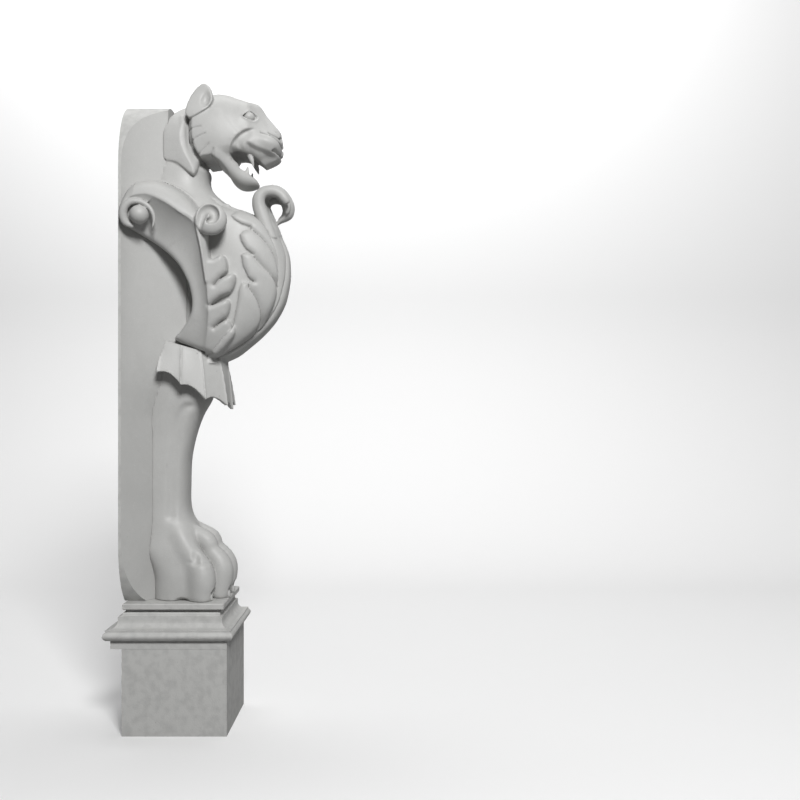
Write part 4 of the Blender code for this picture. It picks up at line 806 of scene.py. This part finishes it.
    def muzzle(self, clay: Clay) -> None:
        """Carve nose, philtrum and whisker slits."""
        box = ((0, 60), (-190, -140), (985, 1066))
        clay.press(self.overhang, ((14, 60), (-176, -112), (992, 1034)))
        for slit in self.pad_slits:
            clay.press(furrow(slit, 6.5, 1.9, True), box)
        clay.press(furrow(self.philtrum, 5.0, 2.6, True), ((0, 12), (-190, -150), (995, 1040)))
        clay.cut(egg((13, -173, 1041.5), (6.5, 5, 2.4)), ((2, 26), (-186, -160), (1034, 1050)), 1)
        clay.press(furrow(self.nose_top, 2.0, 1.5, True), ((0, 22), (-190, -160), (1036, 1052)))
        clay.press(furrow(self.nose_side, 1.6, 1.3, True), ((0, 26), (-190, -162), (1026, 1056)))

    @staticmethod
    def overhang(x: Array, y: Array, z: Array) -> Array:
        """Step in of the lip below the whisker pad."""
        brink = np.interp(y, (-164.0, -133.0, -118.0), (1014.0, 1024.0, 1031.0))
        return 6.5 * blend(brink - z, 0.0, 9.0) * blend(x, 16.0, 30.0) * blend(-y, 112.0, 124.0)

    def mouth(self, clay: Clay) -> None:
        """Open the mouth and set the four fangs."""
        box = self.box
        clay.cut(plate(np.array(self.gape, float), -9, lambda y, z: 90.0, 1), box, 3)
        clay.cut(egg((0, -112, 1003), (42, 36, 17), 27), box, 3)
        clay.cut(egg((0, -103, 988), (31, 27, 12), -38), box, 3)
        clay.add(limb(self.upper_fang), box, 0.6)
        clay.add(limb(self.lower_fang), box, 0.6)

    def back(self, clay: Clay) -> None:
        """Model the collar behind the ruff, with the deep gap between them."""
        ridge = smooth_line(self.collar_ridge, 4)
        front = np.r_[ridge, [(-60, 960), (-60, 1100)]]

        def reach(y: Array, z: Array) -> Array:
            """Half width of the collar: full behind its ridge, falling into the gap before it."""
            full = 61.5 - 0.12 * (y + 5) - np.where(z > 1035, 0.0095, 0.0010) * (z - 1035) ** 2
            return full - 17.0 * blend(-loop_distance(y, z, front), 0.0, 20.0)
        clay.add(plate(smooth_line(self.collar, 3, True), 0, reach, 5), self.box, 0.6)
        clay.press(groove(self.inner_ring, -3.2, 3.6), ((30, 70), (-45, 12), (965, 1085)))
        for cut in self.ruff_cuts:
            clay.press(furrow(cut, 1.7, 1.4), ((45, 90), (-66, -18), (995, 1060)))

    def ears(self, clay: Clay) -> None:
        """Add the upright ear with its shallow hollow."""
        flap = smooth_line(self.ear_edge, 4, True)
        clay.add(plate(flap, lambda y, z: 38 + 15 * blend(z, 1090, 1126),
                       lambda y, z: 60.5 + 8 * blend(-z, -1116, -1072), 3), self.box, 1.5)
        clay.cut(egg((71, -49, 1103), (13, 10.5, 19), 12), ((50, 90), (-66, -30), (1078, 1130)), 1.5)


class Wiring:
    """Short ways to add and join the nodes of one node tree."""

    def __init__(self, tree: bpy.types.NodeTree) -> None:
        """Keep the tree."""
        self.tree = tree

    def node(self, kind: str, settings: dict[str, object] | None = None, **inputs: object) -> bpy.types.Node:
        """Add a node.

        Args:
            kind: Blender's type name of the node.
            settings: Properties to set on it.
            inputs: Input name, its spaces as underscores, to a value or a socket.

        Returns:
            The new node.
        """
        made = self.tree.nodes.new(kind)
        for name, value in (settings or {}).items():
            setattr(made, name, value)
        for name, value in inputs.items():
            self.feed(made.inputs[name.replace("_", " ")], value)
        return made

    def feed(self, socket: bpy.types.NodeSocket, value: object) -> None:
        """Give a socket a value or a link."""
        if isinstance(value, bpy.types.NodeSocket):
            self.tree.links.new(value, socket)
        else:
            socket.default_value = value

    def sum(self, operation: str, a: object, b: object = 0.0, c: object = 0.0) -> bpy.types.NodeSocket:
        """Result of one arithmetic step."""
        made = self.node("ShaderNodeMath", {"operation": operation})
        for socket, value in zip(made.inputs, (a, b, c)):
            self.feed(socket, value)
        return made.outputs[0]

    def step(self, value: object, low: float, high: float, smooth: bool = True) -> bpy.types.NodeSocket:
        """Step from 0 at low to 1 at high."""
        kind = {"interpolation_type": "SMOOTHSTEP" if smooth else "LINEAR"}
        return self.node("ShaderNodeMapRange", kind, Value=value, From_Min=low,
                         From_Max=high).outputs["Result"]

    def mix(self, factor: object, a: object, b: object) -> bpy.types.NodeSocket:
        """Colour between a and b."""
        made = self.node("ShaderNodeMix", {"data_type": "RGBA"})
        for socket, value in ((made.inputs[0], factor), (made.inputs[6], a), (made.inputs[7], b)):
            self.feed(socket, value)
        return made.outputs[2]


class StoneSlot(Enum):
    """Material slots of the record, one for each block of stone."""

    PILLAR = "pillar_stone"
    CAP = "cap_stone"
    SLAB = "slab_stone"
    FIGURE = "figure_stone"


def group(name: str, takes: Sockets, gives: Sockets, kind: str = "ShaderNodeTree") -> bpy.types.NodeTree:
    """Make an empty node group.

    Args:
        name: Its name.
        takes: Names and kinds of its inputs.
        gives: Names and kinds of its outputs.
        kind: Blender's type name of the tree.

    Returns:
        The group's tree.
    """
    tree = bpy.data.node_groups.new(name, kind)
    for way, sockets in (("INPUT", takes), ("OUTPUT", gives)):
        for label, sort in sockets:
            tree.interface.new_socket(name=label, in_out=way, socket_type="NodeSocket" + sort)
    return tree


@dataclass
class StoneEffects:
    """Shader groups that all the stones share: grain, edge wear, and dust with painted shade in hollows."""

    grain: bpy.types.NodeTree = field(init=False)
    wear: bpy.types.NodeTree = field(init=False)
    dust_and_shade: bpy.types.NodeTree = field(init=False)

    def __post_init__(self) -> None:
        """Build the three groups."""
        self.grain = self.make_grain()
        self.wear = self.make_wear()
        self.dust_and_shade = self.make_dust_and_shade()

    @staticmethod
    def make_grain() -> bpy.types.NodeTree:
        """Clouded, veined stone with fine crystals, grit and small pits."""
        takes = (("Position", "Vector"), ("Light", "Color"), ("Dark", "Color"), ("Speck", "Color"),
                 ("Cloud Size", "Float"), ("Pit Share", "Float"))
        tree = group("stone_grain", takes, (("Color", "Color"), ("Height", "Float"), ("Roughness", "Float")))
        w = Wiring(tree)
        given = w.node("NodeGroupInput").outputs
        cloud = w.node("ShaderNodeTexNoise", Vector=given["Position"], Scale=given["Cloud Size"], Detail=5.0,
                       Roughness=0.6, Distortion=0.6).outputs["Fac"]
        vein = w.node("ShaderNodeTexNoise", Vector=given["Position"], Scale=42.0, Detail=4.0, Roughness=0.7,
                      Distortion=1.4).outputs["Fac"]
        crystal = w.node("ShaderNodeTexNoise", Vector=given["Position"], Scale=520.0, Detail=3.0,
                         Roughness=0.65).outputs["Fac"]
        grit = w.node("ShaderNodeTexVoronoi", Vector=given["Position"], Scale=360.0).outputs["Distance"]
        pit = w.node("ShaderNodeTexVoronoi", Vector=given["Position"], Scale=95.0,
                     Randomness=1.0).outputs["Distance"]
        fewer = w.sum("SUBTRACT", 0.62, given["Pit Share"])
        pits = w.sum("MULTIPLY", w.step(pit, 0.16, 0.04), w.step(cloud, fewer, 0.66))
        tone = w.sum("ADD", w.sum("MULTIPLY", cloud, 0.62), w.sum("MULTIPLY", vein, 0.38))
        body = w.mix(w.step(tone, 0.36, 0.64), given["Dark"], given["Light"])
        speckled = w.mix(w.sum("MULTIPLY", w.step(crystal, 0.60, 0.74), 0.55), body, given["Speck"])
        pitted = w.mix(w.sum("MULTIPLY", pits, 0.5), speckled, (0.10, 0.10, 0.097, 1.0))
        height = w.sum("ADD", w.sum("MULTIPLY", crystal, 0.45), w.sum("MULTIPLY", grit, 0.35))
        height = w.sum("ADD", height, w.sum("MULTIPLY", vein, 0.12))
        height = w.sum("SUBTRACT", height, w.sum("MULTIPLY", pits, 1.1))
        rough = w.sum("MULTIPLY", w.step(vein, 0.3, 0.7), 0.08)
        rough = w.sum("ADD", rough, w.sum("MULTIPLY", crystal, 0.10))
        w.node("NodeGroupOutput", Color=pitted, Height=height, Roughness=rough)
        return tree

    @staticmethod
    def make_wear() -> bpy.types.NodeTree:
        """Paler, smoother arrises where hands and weather rub the stone."""
        takes = (("Position", "Vector"), ("Color", "Color"), ("Worn", "Color"), ("Amount", "Float"))
        tree = group("edge_wear", takes, (("Color", "Color"), ("Mask", "Float")))
        w = Wiring(tree)
        given = w.node("NodeGroupInput").outputs
        edge = w.step(w.node("ShaderNodeNewGeometry").outputs["Pointiness"], 0.515, 0.57)
        broken = w.node("ShaderNodeTexNoise", Vector=given["Position"], Scale=70.0, Detail=4.0).outputs["Fac"]
        mask = w.sum("MULTIPLY", w.sum("MULTIPLY", edge, w.step(broken, 0.32, 0.62)), given["Amount"])
        w.node("NodeGroupOutput", Color=w.mix(mask, given["Color"], given["Worn"]), Mask=mask)
        return tree

    @staticmethod
    def make_dust_and_shade() -> bpy.types.NodeTree:
        """Painted shade that darkens the hollows, and a pale dust film on faces that look up."""
        # The Grime input is the dark colour painted into hollows as shade.
        takes = (("Position", "Vector"), ("Color", "Color"), ("Grime", "Color"), ("Film", "Color"),
                 ("Amount", "Float"))
        tree = group("settled_dust_and_painted_shade", takes, (("Color", "Color"), ("Mask", "Float")))
        w = Wiring(tree)
        given = w.node("NodeGroupInput").outputs
        geometry = w.node("ShaderNodeNewGeometry").outputs
        # Painted shade: concave places, where pointiness is low, are darkened as if shaded.
        hollow = w.step(geometry["Pointiness"], 0.49, 0.43)
        patchy = w.node("ShaderNodeTexNoise", Vector=given["Position"], Scale=26.0, Detail=5.0).outputs["Fac"]
        painted_shade = w.sum("MULTIPLY", w.sum("MULTIPLY", hollow, w.step(patchy, 0.25, 0.6)), given["Amount"])
        up = w.step(w.node("ShaderNodeSeparateXYZ", Vector=geometry["Normal"]).outputs["Z"], 0.55, 1.0)
        film = w.sum("MULTIPLY", w.sum("MULTIPLY", up, w.step(patchy, 0.4, 0.7)), 0.35)
        # Painted shade: the hollows take the dark colour.
        with_painted_shade = w.mix(painted_shade, given["Color"], given["Grime"])
        w.node("NodeGroupOutput", Color=w.mix(film, with_painted_shade, given["Film"]), Mask=w.sum("MAXIMUM", painted_shade, film))
        return tree


@dataclass(frozen=True)
class StoneFinish:
    """Honed grey stone for one block."""

    slot: StoneSlot
    light: Colour
    dark: Colour
    roughness: float
    cloud_size: float = 9.0
    pit_share: float = 0.06
    wear: float = 0.5
    painted_shade_amount: float = 0.6
    depth: float = 0.00045
    # Strength of the painted shade in the hollows.
    speck: Colour = (0.60, 0.60, 0.585, 1.0)
    worn: Colour = (0.56, 0.56, 0.545, 1.0)
    # Dark colour painted into the hollows as shade.
    painted_shade: Colour = (0.13, 0.128, 0.12, 1.0)
    film: Colour = (0.50, 0.495, 0.475, 1.0)

    def material(self, effects: StoneEffects) -> bpy.types.Material:
        """Make the material.

        Args:
            effects: The shared groups.

        Returns:
            A material with varying colour, roughness and bump.
        """
        made = bpy.data.materials.new(self.slot.value + "_finish")
        made.use_nodes = True
        w = Wiring(made.node_tree)
        shader = made.node_tree.nodes["Principled BSDF"]
        place = w.node("ShaderNodeTexCoord").outputs["Object"]
        grain = w.node("ShaderNodeGroup", {"node_tree": effects.grain}, Position=place, Light=self.light,
                       Dark=self.dark, Speck=self.speck, Cloud_Size=self.cloud_size,
                       Pit_Share=self.pit_share).outputs
        worn = w.node("ShaderNodeGroup", {"node_tree": effects.wear}, Position=place, Color=grain["Color"],
                      Worn=self.worn, Amount=self.wear).outputs
        # Painted shade in the hollows, and a pale dust film on faces that look up.
        dusted_and_shaded = w.node("ShaderNodeGroup", {"node_tree": effects.dust_and_shade}, Position=place, Color=worn["Color"],
                       Grime=self.painted_shade, Film=self.film, Amount=self.painted_shade_amount).outputs
        rough = w.sum("ADD", grain["Roughness"], self.roughness)
        rough = w.sum("ADD", rough, w.sum("MULTIPLY", dusted_and_shaded["Mask"], 0.15))
        rough = w.sum("SUBTRACT", rough, w.sum("MULTIPLY", worn["Mask"], 0.12))
        bump = w.node("ShaderNodeBump", Strength=0.55, Distance=self.depth, Height=grain["Height"])
        w.feed(shader.inputs["Base Color"], dusted_and_shaded["Color"])
        w.feed(shader.inputs["Roughness"], rough)
        w.feed(shader.inputs["Normal"], bump.outputs["Normal"])
        shader.inputs["Metallic"].default_value = 0.0
        shader.inputs["IOR"].default_value = 1.5
        shader.inputs["Specular IOR Level"].default_value = 0.45
        return made


def finish_of(slot: StoneSlot) -> StoneFinish:
    """Finish of one of the blocks: the figure finest, the pillar coarsest."""
    values = {
        StoneSlot.FIGURE: (0.47, 0.44, 0.40),
        StoneSlot.SLAB: (0.45, 0.425, 0.46),
        StoneSlot.CAP: (0.45, 0.43, 0.44, 12.0),
        StoneSlot.PILLAR: (0.44, 0.425, 0.48, 10.0, 0.07, 0.5, 0.3, 0.0006)}
    light, dark, *rest = values[slot]
    pale, deep = ((tone, tone, tone - 0.01, 1.0) for tone in (light, dark))
    return StoneFinish(slot, pale, deep, *rest)


def mesh_object(name: str, mesh: bpy.types.Mesh) -> bpy.types.Object:
    """Link a mesh into the scene under a name."""
    made = bpy.data.objects.new(name, mesh)
    bpy.context.collection.objects.link(made)
    return made


def report(name: str, piece: bpy.types.Object) -> None:
    """Log a piece and its size."""
    size = ", ".join(f"{1000 * v:.1f}" for v in piece.dimensions)
    LOG.info("%s: %d faces, %s mm", name, len(piece.data.polygons), size)


@dataclass
class BackSlab:
    """Tall slab with an arch at either end, whose front swells towards the figure's back.

    Sizes are in millimetres. The front falls back from the sides by slope and bow, which change over
    the waist, and it comes no further forward than the ridge, which changes there and at the crown.
    """

    waist: tuple[float, float] = (540.0, 660.0)
    crown: tuple[float, float] = (900.0, 960.0)
    slope: tuple[float, float] = (0.8, -0.05)
    bow: tuple[float, float] = (-0.0004, 0.0189)
    ridge: tuple[float, float, float] = (38.0, -48.0, 30.0)
    crisp: float = math.radians(35)
    back: float = 94.6
    edge: float = 5.0
    half_width: float = 95.0
    arch_reach_x: float = 75.0
    arch_reach_z: float = 115.0
    arch_top: float = 978.0
    arch_low: float = 328.0
    foot: float = 225.4
    arch_shares: tuple[float, float] = (0.13, 0.80)
    columns: int = 97
    rows: int = 241

    def front_at(self, x: Array, z: Array) -> Array:
        """Y of the front face over x and z."""
        u = self.half_width - np.abs(x)
        up = blend(z, *self.waist)
        slope, bow = (value[0] + value[1] * up for value in (self.slope, self.bow))
        low, rise, fall = self.ridge
        return np.maximum(self.back - self.edge - slope * u - bow * u * u,
                          low + rise * up + fall * blend(z, *self.crown))

    def tree(self) -> bpy.types.NodeTree:
        """Geometry tree: a grid bent to the arched outline, thickened to the swelling front."""
        sizes = ("Half Width", "Arch Reach X", "Arch Reach Z", "Arch Top", "Arch Low", "Foot", "Back", "Edge")
        takes = [("Columns", "Int"), ("Rows", "Int"), *((name, "Float") for name in sizes), ("Stone", "Material")]
        tree = group("arched_slab", takes, (("Geometry", "Geometry"),), "GeometryNodeTree")
        w = Wiring(tree)
        given = w.node("NodeGroupInput").outputs
        grid = w.node("GeometryNodeMeshGrid", Size_X=2.0, Size_Y=1.0, Vertices_X=given["Columns"],
                      Vertices_Y=given["Rows"])
        place = w.node("ShaderNodeSeparateXYZ", Vector=w.node("GeometryNodeInputPosition").outputs[0]).outputs
        run = w.sum("ADD", place["Y"], 0.5)
        low_share, top_share = self.arch_shares
        drop = w.sum("SUBTRACT", given["Arch Low"], given["Foot"])
        low_turn = w.sum("ARCSINE", w.sum("DIVIDE", drop, given["Arch Reach Z"]))
        low = w.sum("MULTIPLY", w.step(run, low_share, 0.0, False), low_turn)
        top = w.sum("MULTIPLY", w.step(run, top_share, 1.0, False), math.pi / 2)
        straight = w.sum("SUBTRACT", given["Arch Top"], given["Arch Low"])
        middle = w.sum("MULTIPLY", w.step(run, low_share, top_share, False), straight)
        rise = w.sum("SUBTRACT", w.sum("SINE", top), w.sum("SINE", low))
        rise = w.sum("MULTIPLY", rise, given["Arch Reach Z"])
        z = w.sum("ADD", w.sum("ADD", given["Arch Low"], middle), rise)
        narrow = w.sum("SUBTRACT", 2.0, w.sum("ADD", w.sum("COSINE", top), w.sum("COSINE", low)))
        half = w.sum("SUBTRACT", given["Half Width"], w.sum("MULTIPLY", narrow, given["Arch Reach X"]))
        x = w.sum("MULTIPLY", half, w.sum("SINE", w.sum("MULTIPLY", place["X"], math.pi / 2)))
        flat = w.node("GeometryNodeSetPosition", Geometry=grid.outputs["Mesh"],
                      Position=w.node("ShaderNodeCombineXYZ", X=x, Y=given["Back"], Z=z).outputs[0])
        at = w.node("ShaderNodeSeparateXYZ", Vector=w.node("GeometryNodeInputPosition").outputs[0]).outputs
        inset = w.sum("SUBTRACT", given["Half Width"], w.sum("ABSOLUTE", at["X"]))
        up, crown = (w.step(at["Z"], low * MM, high * MM) for low, high in (self.waist, self.crown))
        slope, bow = (w.sum("MULTIPLY_ADD", up, value[1], value[0]) for value in (self.slope, self.bow))
        swell = w.sum("MULTIPLY", w.sum("MULTIPLY", bow, inset), w.sum("DIVIDE", inset, MM))
        face = w.sum("SUBTRACT", given["Back"], given["Edge"])
        face = w.sum("SUBTRACT", w.sum("SUBTRACT", face, w.sum("MULTIPLY", slope, inset)), swell)
        start, rise, fall = (value * MM for value in self.ridge)
        ridge = w.sum("ADD", w.sum("MULTIPLY_ADD", up, rise, start), w.sum("MULTIPLY", crown, fall))
        lifted = w.node("GeometryNodeExtrudeMesh", {"mode": "FACES"}, Mesh=flat.outputs[0], Individual=False,
                        Offset_Scale=MM)
        front = w.node("GeometryNodeSetPosition", Geometry=lifted.outputs["Mesh"],
                       Selection=lifted.outputs["Top"],
                       Position=w.node("ShaderNodeCombineXYZ", X=at["X"], Y=w.sum("MAXIMUM", face, ridge),
                                       Z=at["Z"]).outputs[0])
        turned = w.node("GeometryNodeFlipFaces", Mesh=flat.outputs[0])
        both = w.node("GeometryNodeJoinGeometry")
        tree.links.new(front.outputs[0], both.inputs[0])
        tree.links.new(turned.outputs[0], both.inputs[0])
        merged = w.node("GeometryNodeMergeByDistance", Geometry=both.outputs[0], Distance=0.00001)
        whole = w.node("GeometryNodeRealizeInstances", Geometry=merged.outputs[0])
        stone = w.node("GeometryNodeSetMaterial", Geometry=whole.outputs[0], Material=given["Stone"])
        w.node("NodeGroupOutput", Geometry=stone.outputs[0])
        return tree

    def build(self, stone: bpy.types.Material) -> bpy.types.Object:
        """Make the slab and let it stand for the CAD node.

        Args:
            stone: Material of the slab.

        Returns:
            The finished piece.
        """
        carrier = mesh_object("slab_source", bpy.data.meshes.new("slab_source"))
        bend = carrier.modifiers.new("bend", "NODES")
        bend.node_group = self.tree()
        values = {name.replace("_", " ").title(): getattr(self, name) * MM for name in (
            "half_width", "arch_reach_x", "arch_reach_z", "arch_top", "arch_low", "foot", "back", "edge")}
        values |= {"Columns": self.columns, "Rows": self.rows, "Stone": stone}
        for item in bend.node_group.interface.items_tree:
            if item.in_out == "INPUT":
                bend[item.identifier] = values[item.name]
        graph = bpy.context.evaluated_depsgraph_get()
        mesh = bpy.data.meshes.new_from_object(carrier.evaluated_get(graph))
        bpy.data.objects.remove(carrier, do_unlink=True)
        bm = bmesh.new()
        bm.from_mesh(mesh)
        bmesh.ops.recalc_face_normals(bm, faces=bm.faces)
        for edge in bm.edges:
            edge.smooth = edge.calc_face_angle(0.0) < self.crisp
        for face in bm.faces:
            face.smooth = True
        bm.to_mesh(mesh)
        bm.free()
        if not mesh.materials:
            mesh.materials.append(stone)
        piece = mesh_object("back_slab_stone", mesh)
        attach(piece, "root")
        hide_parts("back_slab")
        report("slab", piece)
        return piece


@dataclass
class TigerFigure:
    """Tiger carved in one block: leg, paw, skirt, chest, shoulders, leaf and head.

    Sizes are in millimetres. Dressing is the thin skin that the finest tooling takes off.
    """

    slab: BackSlab
    crisp: float = math.radians(48)
    cell: float = 1.5
    triangles: int = 190000
    gap: float = 0.3
    foot: float = 225.1
    dressing: float = 0.4
    low: tuple[float, float, float] = (0.0, -207.0, 216.0)
    high: tuple[float, float, float] = (134.0, 100.0, 1138.0)

    def clay(self) -> Clay:
        """Model the whole figure, cut off at the cap and at the slab."""
        clay = Clay(self.low, self.high, self.cell)
        for piece in (Leg(), Paw(), Skirt(), Chest(), Shoulder(), FrontLeaf(), Head()):
            piece.model(clay)
            LOG.info("modelled %s", type(piece).__name__)

        def slab(x: Array, y: Array, z: Array) -> Array:
            """Slab with its gap."""
            wall = (self.slab.front_at(x, z) - y) * 0.7 - self.gap
            return np.maximum(wall, np.abs(x) - self.slab.half_width - self.gap)
        clay.body += self.dressing
        clay.cut(slab, ((-1, 140), (-10, 101), (216, 1138)), 0.05)
        foot = ((-1, 140), (-210, 101), (215, 232))
        clay.cut(lambda x, y, z: z - self.foot - self.gap, foot, 0.05)
        return clay

    def build(self, stone: bpy.types.Material) -> bpy.types.Object:
        """Make the figure's mesh and let it stand for the CAD node.

        Args:
            stone: Material of the figure.

        Returns:
            The finished piece.
        """
        verts, quads = self.clay().skin()
        LOG.info("skinned: %d quads", len(quads))
        mesh = bpy.data.meshes.new("tiger_stone")
        mesh.from_pydata((verts * MM).tolist(), [], quads.tolist())
        piece = mesh_object("tiger_stone", mesh)
        thin = piece.modifiers.new("thin", "DECIMATE")
        thin.ratio = min(1.0, self.triangles / (2 * len(quads)))
        graph = bpy.context.evaluated_depsgraph_get()
        slim = bpy.data.meshes.new_from_object(piece.evaluated_get(graph))
        piece.modifiers.clear()
        piece.data = slim
        bpy.data.meshes.remove(mesh)
        slim.materials.clear()
        slim.materials.append(stone)
        slim.polygons.foreach_set("use_smooth", [True] * len(slim.polygons))
        self.keep_edges(slim)
        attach(piece, "root")
        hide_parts("tiger_figure")
        report("tiger", piece)
        return piece

    def keep_edges(self, mesh: bpy.types.Mesh) -> None:
        """Mark the edges that stay crisp."""
        bm = bmesh.new()
        bm.from_mesh(mesh)
        for edge in bm.edges:
            edge.smooth = edge.calc_face_angle(0.0) < self.crisp
        bm.to_mesh(mesh)
        bm.free()


@dataclass
class Pedestal:
    """Pillar and cap moulding, whose CAD solids keep their shape and get their stone."""

    nodes: tuple[tuple[str, StoneSlot], ...] = (("pillar", StoneSlot.PILLAR), ("cap_moulding", StoneSlot.CAP))

    def dress(self, frame: dict, effects: StoneEffects) -> None:
        """Give each CAD node its stone.

        Args:
            frame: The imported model.
            effects: The shared shader groups.
        """
        for name, slot in self.nodes:
            node = frame["nodes"][name]
            stone = finish_of(slot).material(effects)
            if not node.material_slots:
                node.data.materials.append(stone)
            for place in node.material_slots:
                place.material = stone
            report(name, node)


@dataclass
class Studio:
    """Pale sweep, soft lights and the camera."""

    eye: tuple[float, float, float] = (-1.7426, -0.3864, 0.576)
    lens: float = 43.456
    floor_lit: Colour = (0.26, 0.26, 0.26, 1.0)
    floor_seen: Colour = (0.88, 0.88, 0.88, 1.0)
    surround: float = 0.05
    lamps: tuple = (
        ("key_light", (-2.9, -1.0, 2.6), 0.9, 135.0, (0.0, 0.0, 0.6)),
        ("fill_light", (0.6, -3.4, 1.5), 1.8, 9.0, (0.0, 0.0, 0.6)),
        ("sweep_light", (0.9, 0.0, 3.6), 2.4, 95.0, (4.0, 0.0, 1.4)))

    @staticmethod
    def light(name: str, place: Sequence[float], size: float, watts: float, aim: Sequence[float]) -> None:
        """Add one soft square light that looks at the aim."""
        data = bpy.data.lights.new(name, "AREA")
        data.shape = "SQUARE"
        data.size = size
        data.energy = watts
        lamp = bpy.data.objects.new(name, data)
        lamp.visible_camera = False
        way = Vector(aim) - Vector(place)
        lamp.matrix_world = Matrix.Translation(place) @ way.to_track_quat("-Z", "Y").to_matrix().to_4x4()
        bpy.context.collection.objects.link(lamp)

    def sweep(self) -> None:
        """Lay the pale floor."""
        mesh = bpy.data.meshes.new("floor")
        line = [(-5.0, 0.0), (1.2, 0.0)]
        line += [(1.2 + math.sin(math.radians(a)), 1.0 - math.cos(math.radians(a))) for a in range(6, 91, 6)]
        line += [(2.2, 6.0)]
        places = [(x, side, z) for x, z in line for side in (-9.0, 9.0)]
        faces = [(2 * i, 2 * i + 2, 2 * i + 3, 2 * i + 1) for i in range(len(line) - 1)]
        mesh.from_pydata(places, [], faces)
        mesh.polygons.foreach_set("use_smooth", [True] * len(faces))
        floor = mesh_object("floor", mesh)
        paint = bpy.data.materials.new("floor_paint")
        paint.use_nodes = True
        shader = paint.node_tree.nodes["Principled BSDF"]
        w = Wiring(paint.node_tree)
        seen = w.node("ShaderNodeLightPath").outputs["Is Camera Ray"]
        w.feed(shader.inputs["Base Color"], w.mix(seen, self.floor_lit, self.floor_seen))
        shader.inputs["Roughness"].default_value = 0.9
        shader.inputs["Specular IOR Level"].default_value = 0.0
        mesh.materials.append(paint)

    def build(self) -> None:
        """Set the floor, the lights, the pale surround and the camera."""
        self.sweep()
        for lamp in self.lamps:
            self.light(*lamp)
        world = bpy.data.worlds.new("surround")
        bpy.context.scene.world = world
        world.use_nodes = True
        w = Wiring(world.node_tree)
        world.node_tree.nodes.clear()
        dim = w.node("ShaderNodeBackground", Color=(1.0, 1.0, 1.0, 1.0), Strength=self.surround)
        white = w.node("ShaderNodeBackground", Color=(1.0, 1.0, 1.0, 1.0), Strength=1.0)
        both = w.node("ShaderNodeMixShader", Fac=w.node("ShaderNodeLightPath").outputs["Is Camera Ray"])
        w.feed(both.inputs[1], dim.outputs[0])
        w.feed(both.inputs[2], white.outputs[0])
        w.node("ShaderNodeOutputWorld", Surface=both.outputs[0])
        data = bpy.data.cameras.new("camera")
        data.sensor_width = 36.0
        data.lens = self.lens
        data.clip_end = 100.0
        camera = bpy.data.objects.new("camera", data)
        turn = Matrix(((0, 0, -1), (-1, 0, 0), (0, 1, 0)))
        camera.matrix_world = Matrix.Translation(self.eye) @ turn.to_4x4()
        bpy.context.collection.objects.link(camera)
        bpy.context.scene.camera = camera
        bpy.context.scene.view_settings.view_transform = "Standard"


def main() -> None:
    """Load the frame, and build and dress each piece."""
    logging.basicConfig(level=logging.INFO, format="%(message)s")
    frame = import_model()
    effects = StoneEffects()
    Pedestal().dress(frame, effects)
    slab = BackSlab()
    slab.build(finish_of(StoneSlot.SLAB).material(effects))
    TigerFigure(slab).build(finish_of(StoneSlot.FIGURE).material(effects))
    Studio().build()


if __name__ == "__main__":
    main()
